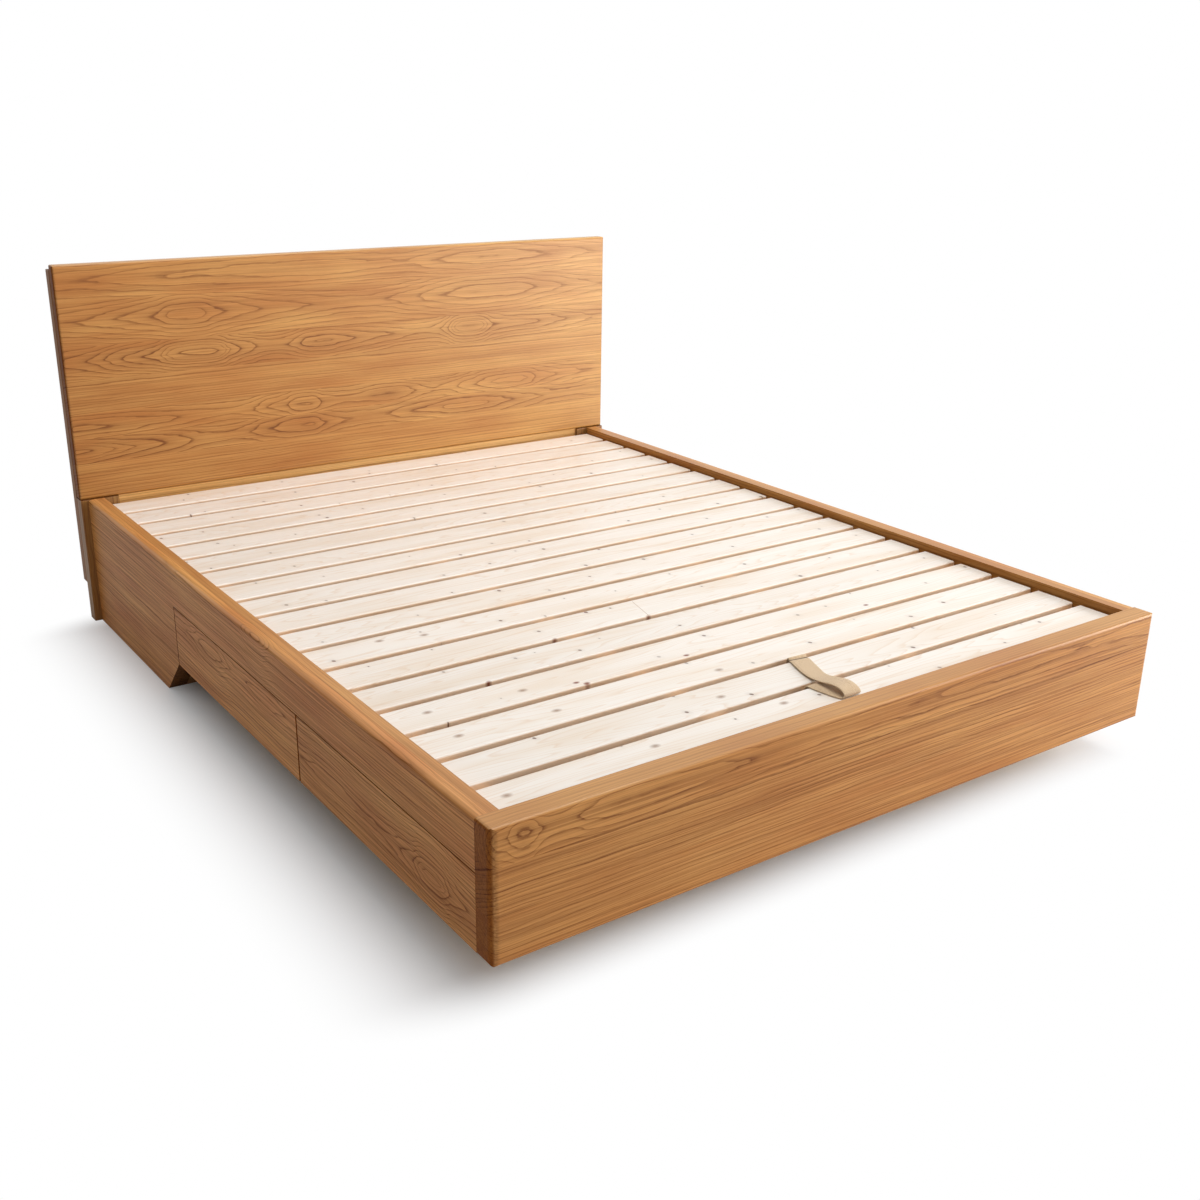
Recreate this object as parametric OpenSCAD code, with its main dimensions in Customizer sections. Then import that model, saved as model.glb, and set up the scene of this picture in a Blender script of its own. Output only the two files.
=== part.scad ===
// Storage bed: floating solid wood frame with a boxed head section, four drawers and a lift-up slat deck.
// X runs across the bed, Y from the foot to the head, Z up. The origin is on the floor under the middle.

/* [Mattress] */
// Width of the mattress
mattress_w = 1500; // [1200:10:1800]
// Length of the mattress
mattress_l = 2000; // [1900:10:2200]
// Room left beside the mattress, each side
mattress_side_gap = 22.5; // [10:0.5:40]
// Room left at the end of the mattress
mattress_end_gap = 5; // [2:1:30]

/* [Frame] */
// Height of the footboard and rails above the floor
bed_h = 336; // [320:2:380]
// Height of the floating part's underside above the floor
floor_gap = 96; // [60:2:110]
// Thickness of the side panels
rail_t = 42; // [36:1:50]
// Height of the rail above the drawers
rail_h = 96; // [90:2:110]
// Radius along the rails' outer top edge
rail_round = 10; // [4:1:16]
// Thickness of the footboard
foot_t = 47; // [40:1:55]
// How far the footboard's ends stand out past the rails
foot_proud = 1.5; // [0:0.5:6]
// Radius of the footboard's upright front corners
foot_corner_r = 14; // [6:1:18]
// Radius along the other edges of the footboard and the headboard panel
edge_r = 6; // [2:0.5:8]
// Length along the floor of the slope at the foot of the boxed head section
slope_run = 97; // [60:1:140]

/* [Headboard] */
// Height of the headboard's top above the floor
head_h = 936; // [700:2:1200]
// How far the headboard stands out past the rails, each side
head_overhang = 19; // [6:0.5:30]
// Thickness of the headboard panel
panel_t = 32; // [22:1:36]
// Width of a head leg
leg_w = 100; // [84:1:120]
// How far a leg's front stands proud of the panel
leg_proud = 6; // [4:1:25]
// Thickness of the back battens
batten_t = 30; // [22:1:36]
// Width of the back battens
batten_w = 70; // [50:1:84]
// Distance from the headboard's top down to the battens' top
batten_drop = 14; // [4:1:60]
// Height of the battens' lower end above the floor
batten_z = 100; // [40:2:160]

/* [Deck] */
// Number of slats, in six groups of equal count
slat_count = 18; // [12:6:24]
// Gap between two slats
slat_gap = 17; // [14:0.5:40]
// Thickness of a slat
slat_t = 18; // [14:1:22]
// Depth of the slats' top below the rails' top
deck_drop = 18; // [12:1:30]
// Height of the deck's stiles
stile_h = 30; // [28:1:34]
// Width of the deck's stiles
stile_w = 45; // [42:1:50]
// Distance between the two inner stiles' middles
inner_stile_gap = 500; // [300:10:700]
// Gap between the deck and the head legs
deck_head_gap = 7; // [6:0.5:12]
// Gap between the deck and the footboard
deck_foot_gap = 8; // [4:0.5:12]
// Gap between the slats' ends and the rails
deck_side_gap = 6.5; // [5.5:0.5:8]

/* [Drawers] */
// Length of a foot drawer's bay along the bed, from seam to seam
foot_bay_l = 675; // [560:1:720]
// Length of a head drawer's bay along the bed, from seam to seam
head_bay_l = 691; // [560:1:720]
// Gap round a drawer front
front_gap = 2.5; // [1.5:0.5:4]
// Thickness of the drawer fronts
front_t = 22; // [18:1:26]
// Depth of a drawer behind its front
drawer_d = 640; // [500:10:680]
// Thickness of the drawer sides and back
drawer_side_t = 15; // [13:1:18]
// Thickness of the drawer bottoms
drawer_bottom_t = 6; // [4:1:9]
// Height of the finger grip under a drawer's front
grip_h = 16; // [10:1:22]

/* [Inside] */
// Thickness of the inside boards
inside_t = 22; // [18:1:26]
// Width of the ledgers under the deck's edges
ledger_w = 30; // [26:1:40]
// Distance from the footboard back to the plinth
plinth_setback = 200; // [120:10:400]
// Distance from the drawer fronts in to the plinth's sides
plinth_side_setback = 254; // [120:2:400]
// Distance of the deck's pivot from the head legs
pivot_back = 108; // [108:1:120]
// Distance of the struts' lower pivots from the deck's pivot, along the bed
strut_run = 143; // [138:1:150]
// Gap between the struts' lower plates and the compartment floor
mount_gap = 14; // [4:1:20]

/* [Strap] */
// Width of the pull strap
strap_w = 45; // [35:1:50]
// Thickness of the pull strap
strap_t = 2; // [1.5:0.5:2.5]

/* [Hidden] */
$fn = 48;
lap = 1;
fit = 0.2;
run_fit = 0.05;

// Widths, from the middle outwards
rail_x = mattress_w / 2 + mattress_side_gap;
rail_out = rail_x + rail_t;
foot_x = rail_out + foot_proud;
head_x = rail_out + head_overhang;
leg_x = head_x - leg_w;
front_in = rail_out - front_t;

// Lengths, from the foot to the head
deck_l = mattress_l + mattress_end_gap;
overall_l = foot_t + deck_l + leg_proud + panel_t + batten_t;
y_foot = -overall_l / 2;
y_in = y_foot + foot_t;
y_leg = y_in + deck_l;
y_panel = y_leg + leg_proud;
y_batten = y_panel + panel_t;
y_end = y_batten + batten_t;
y_mid = y_in + foot_bay_l;
y_box = y_mid + head_bay_l;
y_slope = y_box + slope_run;
end_board_inset = 8;
y_end_board = y_leg + end_board_inset;

// Heights, from the floor up
foot_h = bed_h - floor_gap;
z_rail = bed_h - rail_h;
z_slat_top = bed_h - deck_drop;
z_slat = z_slat_top - slat_t;
z_stile = z_slat - stile_h;
batten_top = head_h - batten_drop;

// Tenons that join the rails to the footboard
tenon_l = 25;
tenon_t = 20;
tenon_h = 52;
tenon_z = z_rail + (rail_h - tenon_h) / 2;

// Edges that are eased less
leg_edge_r = 2;
front_edge_r = 1;

// Deck
y_deck_0 = y_in + deck_foot_gap;
y_deck_1 = y_leg - deck_head_gap;
deck_x = rail_x - deck_side_gap;
stile_out = deck_x - 1;
slat_w = (y_deck_1 - y_deck_0 + slat_gap) / slat_count - slat_gap;
slat_pitch = slat_w + slat_gap;
slats_per_group = slat_count / 6;
slat_edge_r = 4;

// Deck pivot
y_pivot = y_leg - pivot_back;
z_pivot = z_stile + stile_h / 2;
plate_t = 3;
pin_r = 5;
pin_l = 22;
pin_hole_r = 5.5;
pivot_plate = [64, 44];
pivot_screw_out = 22;
plate_corner_r = 4;
deck_plate_l = 80;
deck_plate_inset = 1;

// Compartment floor
comp_floor_z = 30;
comp_floor_t = 9;

// Gas struts: both pivots lie on one circle round the deck's pivot, so a strut turns half as far as the deck
mount_plate = [52, 30];
mount_screw_out = 18;
strut_x = deck_x - 12;
strut_drop = 30;
strut_a = [y_pivot - strut_run, comp_floor_z + comp_floor_t + mount_gap + mount_plate[1] / 2];
strut_rise = z_pivot - strut_a[1];
strut_arm = norm([strut_run, strut_rise]);
strut_a_angle = 180 + atan2(strut_rise, strut_run);
strut_b_angle = 180 + asin(strut_drop / strut_arm);
strut_b = [y_pivot + strut_arm * cos(strut_b_angle), z_pivot + strut_arm * sin(strut_b_angle)];
strut_l = norm(strut_b - strut_a);
strut_tilt = (strut_a_angle + strut_b_angle) / 2 - 90;
strut_tube_r = 9;
strut_bore_r = 7.5;
strut_neck_r = 5;
strut_rod_r = 4;
strut_stud_r = 4;
strut_stud_end = 2;
strut_eye_r = 10;
strut_eye_t = 10;
strut_eye_play = 3;
strut_cap_l = 8;
strut_tube_0 = 14;
strut_tube_1 = strut_l - 34;
strut_base_t = 4;
piston_0 = strut_tube_0 + 6;
piston_l = 10;
piston_play = 0.2;
tab_x = strut_x - strut_eye_t / 2 - 4;
tab_w = 28;
tab_below = 12;
tab_foot_w = 20;
tab_foot_l = 50;

// Drawer boxes
partition_inset = 2;
box_z = floor_gap + grip_h;
box_top = z_rail - 18;
bottom_z = box_z + 8;
groove_in = 6;
runner_h = 18;
runner_out = 18;
runner_side_gap = 12;
runner_z = box_z + 38;
runner_0 = 90;
runner_1 = front_in - 8;
runner_groove_d = 7;
drawer_x0 = front_in - drawer_d;

// Head section
slope_slant = inside_t * sqrt(slope_run * slope_run + floor_gap * floor_gap) / floor_gap;
plinth_x = front_in - plinth_side_setback;
comp_floor_0 = y_slope + slope_slant - comp_floor_z * slope_run / floor_gap + fit;
cleat_w = 20;
cleat_gap = 5;

// Steel plates and screws
screw_r = 2;
screw_l = 25;
screw_head_r = 4.5;
screw_head_h = 2;
bracket_w = 36;
bracket_h = 90;
bracket_z = 110;
bracket_screw_in = 20;
batten_screw_r = 2.5;
batten_screw_l = 46;
batten_screw_head_r = 5.5;
batten_screw_head_h = 3.5;
batten_sink_r = 7;
batten_sink_d = 5;
batten_hole_r = 3;
batten_screw_end = 40;
slat_screw_r = 2;
slat_screw_in = 4;
slat_screw_cover = 6;

// Pull strap: points of its middle line, as [x, gap number, distance past that gap, height above the slats].
// Gap 1 is the one behind the first slat from the foot, and the strap goes round the second slat.
strap_under = -slat_t - 2;
strap_path = [
    [29, 2, 1, -12],
    [29, 2, -2, -2],
    [28, 2, -10, 3],
    [25, 1.75, 0, 4],
    [19, 1.5, 0, 6],
    [10, 1.2, 0, 9],
    [4, 1, -6, 13],
    [1, 1, -31, 16],
    [-1, 1, -56, 17],
    [-2, 1, -75, 14],
    [-3, 1, -85, 9],
    [-4, 1, -86, 5],
    [-6, 1, -79, 2],
    [-12, 1, -56, 2],
    [-17, 1, -31, 2],
    [-20, 1, -13, 2],
    [-20, 1, -4, -0.5],
    [-20, 1, 0, -8],
    [-19, 1, 2, 4 - slat_t],
    [-17, 1, 8, strap_under],
    [-2, 1.35, 0, strap_under],
    [13, 1.65, 0, strap_under],
    [26, 2, -10, strap_under],
    [29, 2, -1, 2 + strap_under]
];
strap_n = len(strap_path);

hardwood = "#B87C45";
hardwood_dark = "#9A6436";
pine = "#EDE2D0";
ply = "#D8BC8E";
steel = "#B9BCC0";
dark_steel = "#3A3B3E";
webbing = "#C4AC84";

// Rectangle with rounded corners, from the corner nearest the origin
module round_rect(size, r) {
    translate([r, 0]) square([size[0] - 2 * r, size[1]]);
    translate([0, r]) square([size[0], size[1] - 2 * r]);
    for (x = [r, size[0] - r], y = [r, size[1] - r])
        translate([x, y]) circle(r);
}

// Plain block between two corners
module block(lo, hi) {
    translate(lo) cube(hi - lo);
}

// Extrusions of a drawing along X or Y, from one plane to another
module along_x(x0, x1) {
    translate([x0, 0, 0]) rotate([90, 0, 90]) linear_extrude(x1 - x0) children();
}

module along_y(y0, y1) {
    translate([0, y1, 0]) rotate([90, 0, 0]) linear_extrude(y1 - y0) children();
}

// Board between two corners with every edge eased
module board(lo, hi, r) {
    size = hi - lo;
    intersection() {
        along_x(lo[0], hi[0]) translate([lo[1], lo[2]]) round_rect([size[1], size[2]], r);
        along_y(lo[1], hi[1]) translate([lo[0], lo[2]]) round_rect([size[0], size[2]], r);
        translate(lo) linear_extrude(size[2]) round_rect([size[0], size[1]], r);
    }
}

// Bore or pin along X, from one plane to another
module rod_x(x0, x1, y, z, r) {
    translate([x0, y, z]) rotate([0, 90, 0]) cylinder(r = r, h = x1 - x0);
}

// A thing drawn for the right, put on the left
module on_left() {
    mirror([1, 0, 0]) children();
}

// The same thing on both sides of the bed
module both_sides() {
    children();
    on_left() children();
}

// Frame

// Its back edges are square, where the rails' tops meet it
module footboard() {
    color(hardwood) difference() {
        intersection() {
            along_x(-foot_x, foot_x) translate([y_foot, floor_gap]) {
                round_rect([foot_t, foot_h], edge_r);
                translate([foot_t / 2, 0]) square([foot_t / 2, foot_h]);
            }
            along_y(y_foot, y_in) translate([-foot_x, floor_gap]) round_rect([2 * foot_x, foot_h], edge_r);
            translate([-foot_x, y_foot, floor_gap]) linear_extrude(foot_h) {
                round_rect([2 * foot_x, foot_t], foot_corner_r);
                translate([0, foot_t / 2]) square([2 * foot_x, foot_t / 2]);
            }
        }
        both_sides() rail_tenon(fit);
    }
}

// Tenon at a rail's foot end, or its mortise when it is given some play
module rail_tenon(play = 0) {
    block(
        [rail_x + (rail_t - tenon_t) / 2 - play, y_in - tenon_l - play, tenon_z - play],
        [rail_x + (rail_t + tenon_t) / 2 + play, y_in + lap, tenon_z + tenon_h + play]
    );
}

module side_panel() {
    intersection() {
        along_x(rail_x, rail_out) polygon([
            [y_in, z_rail], [y_box, z_rail], [y_box, floor_gap], [y_slope, 0],
            [y_leg, 0], [y_leg, bed_h], [y_in, bed_h]
        ]);
        along_y(y_in, y_leg) difference() {
            translate([rail_x, 0]) square([rail_t, bed_h]);
            translate([rail_out - rail_round, bed_h - rail_round]) difference() {
                square(rail_round + lap);
                circle(rail_round);
            }
        }
    }
    rail_tenon();
}

module headboard_panel() {
    color(hardwood) board([-head_x, y_panel, bed_h], [head_x, y_batten, head_h], edge_r);
}

module head_leg() {
    board([leg_x, y_leg, 0], [head_x, y_batten, bed_h], leg_edge_r);
}

// Heights of the screws that hold a batten: two in the leg and four in the panel
batten_screw_z = concat(
    [for (k = [1, 2]) batten_z + k * (bed_h - batten_z) / 3],
    [for (k = [0:3]) bed_h + batten_screw_end + k * (batten_top - bed_h - 2 * batten_screw_end) / 3]
);

module at_batten_screws() {
    for (z = batten_screw_z)
        translate([head_x - batten_w / 2, y_end - batten_sink_d, z]) rotate([90, 0, 0]) children();
}

module back_batten() {
    difference() {
        board([head_x - batten_w, y_batten, batten_z], [head_x, y_end, batten_top], leg_edge_r);
        at_batten_screws() {
            translate([0, 0, -batten_sink_d - lap]) cylinder(r = batten_sink_r, h = batten_sink_d + lap);
            cylinder(r = batten_hole_r, h = batten_t);
        }
    }
}

module batten_screws() {
    color(steel) both_sides() at_batten_screws() {
        translate([0, 0, -batten_screw_head_h]) cylinder(r = batten_screw_head_r, h = batten_screw_head_h);
        cylinder(r = batten_screw_r, h = batten_screw_l);
    }
}

module head_end_board() {
    color(hardwood) block([-leg_x, y_end_board, 0], [leg_x, y_end_board + inside_t, bed_h]);
}

// Boxed head section

module sloped_plinth_board() {
    color(hardwood) along_x(-rail_x, rail_x) polygon([
        [y_box, floor_gap], [y_slope, 0], [y_slope + slope_slant, 0], [y_box + slope_slant, floor_gap]
    ]);
}

module head_partition() {
    color(pine) block([-rail_x, y_box, floor_gap], [rail_x, y_box + inside_t, z_stile]);
}

module floor_cleats() {
    y0 = y_slope + slope_slant + cleat_gap;
    y1 = y_leg - cleat_gap;
    color(pine) {
        both_sides() block([rail_x - cleat_w, y0, 0], [rail_x, y1, comp_floor_z]);
        block([-cleat_w / 2, y0, 0], [cleat_w / 2, y1, comp_floor_z]);
    }
}

module compartment_floor() {
    color(ply) block(
        [-rail_x, comp_floor_0, comp_floor_z],
        [rail_x, y_leg, comp_floor_z + comp_floor_t]
    );
}

// Drawer bays

// Cross board that carries drawer runners, with the deck resting on its top
module bay_board(y) {
    block([-front_in + partition_inset, y, floor_gap], [front_in - partition_inset, y + inside_t, z_rail]);
    block([-rail_x + ledger_w, y, z_rail - lap], [rail_x - ledger_w, y + inside_t, z_stile]);
}

module foot_partition() {
    color(pine) bay_board(y_in);
}

// The middle board and the spine are halved into each other
halving_z = (floor_gap + z_stile) / 2;

module mid_partition() {
    color(pine) difference() {
        bay_board(y_mid - inside_t / 2);
        block(
            [-inside_t / 2 - fit, y_mid - inside_t, floor_gap - lap],
            [inside_t / 2 + fit, y_mid + inside_t, halving_z]
        );
    }
}

module centre_spine() {
    color(pine) difference() {
        block([-inside_t / 2, y_in + inside_t, floor_gap], [inside_t / 2, y_box, z_stile]);
        block(
            [-inside_t, y_mid - inside_t / 2 - fit, halving_z],
            [inside_t, y_mid + inside_t / 2 + fit, z_stile + lap]
        );
    }
}

module plinth_front() {
    color(hardwood) block(
        [-plinth_x - inside_t, y_in + plinth_setback, 0],
        [plinth_x + inside_t, y_in + plinth_setback + inside_t, floor_gap]
    );
}

module plinth_sides() {
    y0 = y_in + plinth_setback + inside_t;
    color(hardwood) both_sides() along_x(plinth_x, plinth_x + inside_t)
        polygon([[y0, 0], [y_slope, 0], [y_box, floor_gap], [y0, floor_gap]]);
}

module deck_ledgers() {
    color(pine) both_sides() block([rail_x - ledger_w, y_in, z_rail], [rail_x, y_box, z_stile]);
}

// The two faces of each drawer bay: the foot bay is number 0 and the head bay is number 1
function bay_y0(n) = n == 0 ? y_in + inside_t : y_mid + inside_t / 2;
function bay_y1(n) = n == 0 ? y_mid - inside_t / 2 : y_box;

module drawer_runners() {
    color(hardwood_dark) both_sides() for (n = [0, 1], y = [bay_y0(n), bay_y1(n) - runner_out])
        block([runner_0, y, runner_z], [runner_1, y + runner_out, runner_z + runner_h]);
}

// Drawers, drawn on the right, with the same numbers as the bays

function front_y0(n) = (n == 0 ? y_in : y_mid) + front_gap;
function front_y1(n) = (n == 0 ? y_mid : y_box) - front_gap;
function box_y0(n) = bay_y0(n) + runner_side_gap;
function box_y1(n) = bay_y1(n) - runner_side_gap;
function box_in_y0(n) = box_y0(n) + drawer_side_t;
function box_in_y1(n) = box_y1(n) - drawer_side_t;

// A drawer's bottom board, or the groove for it when it is given no play
module bottom_board(n, play) {
    block(
        [drawer_x0 - (play > 0 ? 0 : lap), box_in_y0(n) - groove_in + play, bottom_z],
        [front_in + groove_in - play, box_in_y1(n) + groove_in - play, bottom_z + drawer_bottom_t]
    );
}

module drawer_front(n) {
    color(hardwood) difference() {
        board([front_in, front_y0(n), floor_gap], [rail_out, front_y1(n), z_rail - front_gap], front_edge_r);
        bottom_board(n, 0);
    }
}

module drawer_sides(n) {
    color(pine) difference() {
        for (y = [box_y0(n), box_in_y1(n)])
            block([drawer_x0, y, box_z], [front_in, y + drawer_side_t, box_top]);
        bottom_board(n, 0);
        for (y = [box_y0(n) - lap, box_y1(n) - runner_groove_d])
            block(
                [drawer_x0 - lap, y, runner_z - lap],
                [front_in + lap, y + runner_groove_d + lap, runner_z + runner_h]
            );
    }
}

module drawer_back(n) {
    color(pine) block(
        [drawer_x0, box_in_y0(n), bottom_z + drawer_bottom_t],
        [drawer_x0 + drawer_side_t, box_in_y1(n), box_top]
    );
}

module drawer_bottom(n) {
    color(ply) bottom_board(n, fit);
}

// Slat deck

module slats(group) {
    color(pine) for (k = [0:slats_per_group - 1]) {
        y = y_deck_0 + ((group - 1) * slats_per_group + k) * slat_pitch;
        along_x(-deck_x, deck_x) translate([y, z_slat]) round_rect([slat_w, slat_t], slat_edge_r);
    }
}

module stile(x) {
    block([x, y_deck_0, z_stile], [x + stile_w, y_deck_1, z_slat]);
}

module outer_stile() {
    color(pine) difference() {
        stile(stile_out - stile_w);
        rod_x(rail_x - plate_t - pin_l - lap, stile_out + lap, y_pivot, z_pivot, pin_hole_r);
    }
}

module inner_stile() {
    color(pine) stile((inner_stile_gap - stile_w) / 2);
}

module slat_screws() {
    shank = stile_h + slat_t - slat_screw_in - slat_screw_cover;
    rows = [stile_out - stile_w / 2, inner_stile_gap / 2];
    color(steel) both_sides() for (x = rows, k = [0:slat_count - 1])
        translate([x, y_deck_0 + k * slat_pitch + slat_w / 2, z_stile + slat_screw_in])
            cylinder(r = slat_screw_r, h = shank);
}

// Steel fittings

module deck_pivot_plates() {
    color(dark_steel) both_sides() difference() {
        block(
            [stile_out, y_pivot - deck_plate_l / 2, z_stile + deck_plate_inset],
            [stile_out + plate_t, y_pivot + deck_plate_l / 2, z_slat - deck_plate_inset]
        );
        rod_x(stile_out - lap, stile_out + plate_t + lap, y_pivot, z_pivot, pin_r + run_fit);
    }
}

// Places of the screws in the plates on the side panels, as [y, z], and of those in the legs, as z
pivot_screws = [for (s = [-1, 1]) [y_pivot + s * pivot_screw_out, z_pivot]];
mount_screws = [for (s = [-1, 1]) strut_a + [s * mount_screw_out, 0]];
leg_screws = [bracket_z + bracket_screw_in, bracket_z + bracket_h - bracket_screw_in];
corner_screws = [for (z = leg_screws) [y_leg - bracket_w / 2, z]];

module at_wall_screw(p) {
    translate([rail_x - plate_t, p[0], p[1]]) rotate([0, 90, 0]) children();
}

module at_leg_screw(z) {
    translate([rail_x - bracket_w / 2, y_leg - plate_t, z]) rotate([-90, 0, 0]) children();
}

// Screw with a sunk head and the hole for it, from the plate's face along Z
module screw() {
    cylinder(r = screw_head_r, h = screw_head_h);
    cylinder(r = screw_r, h = screw_l);
}

module screw_hole() {
    translate([0, 0, -lap]) cylinder(r = screw_head_r + fit, h = screw_head_h + lap);
    cylinder(r = screw_r + fit, h = plate_t + lap);
}

module wall_plate(centre, size, screws) {
    difference() {
        along_x(rail_x - plate_t, rail_x) translate(centre - size / 2) round_rect(size, plate_corner_r);
        for (p = screws)
            at_wall_screw(p) screw_hole();
    }
}

module pivot_brackets() {
    color(dark_steel) both_sides() {
        wall_plate([y_pivot, z_pivot], pivot_plate, pivot_screws);
        rod_x(rail_x - plate_t - pin_l, rail_x - plate_t + lap, y_pivot, z_pivot, pin_r);
    }
}

module strut_mounts() {
    x0 = strut_x - strut_eye_t / 2 - strut_stud_end;
    color(dark_steel) both_sides() {
        wall_plate(strut_a, mount_plate, mount_screws);
        rod_x(x0, rail_x - plate_t + lap, strut_a[0], strut_a[1], strut_stud_r);
    }
}

// Angle under a stile, with the stud for a strut's rod on its tab
module strut_brackets() {
    color(dark_steel) both_sides() {
        block(
            [tab_x - tab_foot_w, strut_b[0] - tab_foot_l / 2, z_stile - plate_t],
            [tab_x, strut_b[0] + tab_foot_l / 2, z_stile]
        );
        block(
            [tab_x - plate_t, strut_b[0] - tab_w / 2, strut_b[1] - tab_below],
            [tab_x, strut_b[0] + tab_w / 2, z_stile]
        );
        rod_x(tab_x - lap, strut_x + strut_eye_t / 2 + strut_stud_end, strut_b[0], strut_b[1], strut_stud_r);
    }
}

module corner_brackets() {
    color(steel) both_sides() difference() {
        union() {
            block([rail_x - plate_t, y_leg - bracket_w, bracket_z], [rail_x, y_leg, bracket_z + bracket_h]);
            block([rail_x - bracket_w, y_leg - plate_t, bracket_z], [rail_x, y_leg, bracket_z + bracket_h]);
        }
        for (p = corner_screws)
            at_wall_screw(p) screw_hole();
        for (z = leg_screws)
            at_leg_screw(z) screw_hole();
    }
}

module bracket_screws() {
    color(steel) both_sides() {
        for (p = concat(pivot_screws, mount_screws, corner_screws))
            at_wall_screw(p) screw();
        for (z = leg_screws)
            at_leg_screw(z) screw();
    }
}

// Gas struts, drawn along Z from the lower pivot and turned into place on one side, 1 for the right

module on_strut(side) {
    translate([side * strut_x, strut_a[0], strut_a[1]]) rotate([strut_tilt - 90, 0, 0]) children();
}

module strut_eye(bore_r) {
    difference() {
        rod_x(-strut_eye_t / 2, strut_eye_t / 2, 0, 0, strut_eye_r);
        rod_x(-strut_eye_t, strut_eye_t, 0, 0, bore_r);
    }
}

module strut_tube(side) {
    color(dark_steel) on_strut(side) {
        strut_eye(strut_stud_r + run_fit);
        translate([0, 0, strut_eye_r - lap])
            cylinder(r = strut_neck_r, h = strut_tube_0 - strut_eye_r + lap);
        difference() {
            translate([0, 0, strut_tube_0]) cylinder(r = strut_tube_r, h = strut_tube_1 - strut_tube_0);
            translate([0, 0, strut_tube_0 + strut_base_t])
                cylinder(r = strut_bore_r, h = strut_tube_1 - strut_tube_0 - strut_base_t - strut_cap_l);
            translate([0, 0, strut_tube_1 - strut_cap_l - lap])
                cylinder(r = strut_rod_r + run_fit, h = strut_cap_l + 2 * lap);
        }
    }
}

module strut_rod(side) {
    color(steel) on_strut(side) {
        translate([0, 0, piston_0]) cylinder(r = strut_bore_r - piston_play, h = piston_l);
        translate([0, 0, piston_0]) cylinder(r = strut_rod_r, h = strut_l - strut_eye_r + lap - piston_0);
        translate([0, 0, strut_l]) strut_eye(strut_stud_r + strut_eye_play);
    }
}

// Pull strap: a closed band of webbing round the second slat, its slack laid forward over the first

strap_gap_1 = y_deck_0 + slat_w + slat_gap / 2;

function strap_point(k) = let (p = strap_path[k % strap_n])
    [p[0], strap_gap_1 + (p[1] - 1) * slat_pitch + p[2], z_slat_top + p[3]];

// Half the band's thickness, square to its run
function strap_out(k) = let (d = strap_point(k + 1) - strap_point(k + strap_n - 1))
    [0, d[2], -d[1]] * strap_t / 2 / norm([d[1], d[2]]);

function strap_ring(k) = let (p = strap_point(k), out = strap_out(k), side = [strap_w / 2, 0, 0])
    [p - side - out, p + side - out, p + side + out, p - side + out];

module pull_strap() {
    points = [for (k = [0:strap_n - 1]) each strap_ring(k)];
    faces = [for (k = [0:strap_n - 1], c = [0:3])
        let (
            a = 4 * k + c,
            b = 4 * k + (c + 1) % 4,
            d = 4 * ((k + 1) % strap_n) + c,
            e = 4 * ((k + 1) % strap_n) + (c + 1) % 4
        )
        each [[a, b, e], [a, e, d]]
    ];
    color(webbing) polyhedron(points, faces);
}

footboard();
color(hardwood) on_left() side_panel();  // left_side_panel
color(hardwood) side_panel();  // right_side_panel
headboard_panel();
color(hardwood) on_left() head_leg();  // left_head_leg
color(hardwood) head_leg();  // right_head_leg
color(hardwood_dark) on_left() back_batten();  // left_back_batten
color(hardwood_dark) back_batten();  // right_back_batten
head_end_board();
sloped_plinth_board();
head_partition();
mid_partition();
foot_partition();
centre_spine();
plinth_front();
plinth_sides();
compartment_floor();
floor_cleats();
deck_ledgers();
drawer_runners();
pivot_brackets();
strut_mounts();
corner_brackets();
bracket_screws();
batten_screws();
slats(1);  // slats_group_1
slats(2);  // slats_group_2
slats(3);  // slats_group_3
slats(4);  // slats_group_4
slats(5);  // slats_group_5
slats(6);  // slats_group_6
on_left() outer_stile();  // left_outer_stile
on_left() inner_stile();  // left_inner_stile
inner_stile();  // right_inner_stile
outer_stile();  // right_outer_stile
slat_screws();
deck_pivot_plates();
strut_brackets();
pull_strap();
strut_tube(-1);  // left_strut_tube
strut_rod(-1);  // left_strut_rod
strut_tube(1);  // right_strut_tube
strut_rod(1);  // right_strut_rod
on_left() drawer_front(0);  // left_foot_drawer_front
on_left() drawer_sides(0);  // left_foot_drawer_sides
on_left() drawer_back(0);  // left_foot_drawer_back
on_left() drawer_bottom(0);  // left_foot_drawer_bottom
on_left() drawer_front(1);  // left_head_drawer_front
on_left() drawer_sides(1);  // left_head_drawer_sides
on_left() drawer_back(1);  // left_head_drawer_back
on_left() drawer_bottom(1);  // left_head_drawer_bottom
drawer_front(0);  // right_foot_drawer_front
drawer_sides(0);  // right_foot_drawer_sides
drawer_back(0);  // right_foot_drawer_back
drawer_bottom(0);  // right_foot_drawer_bottom
drawer_front(1);  // right_head_drawer_front
drawer_sides(1);  // right_head_drawer_sides
drawer_back(1);  // right_head_drawer_back
drawer_bottom(1);  // right_head_drawer_bottom
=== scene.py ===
"""Storage bed in oiled elm with a slatted pine deck and a webbing pull strap."""

import math
import random

import bmesh
import bpy
from mathutils import Matrix, Vector


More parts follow.
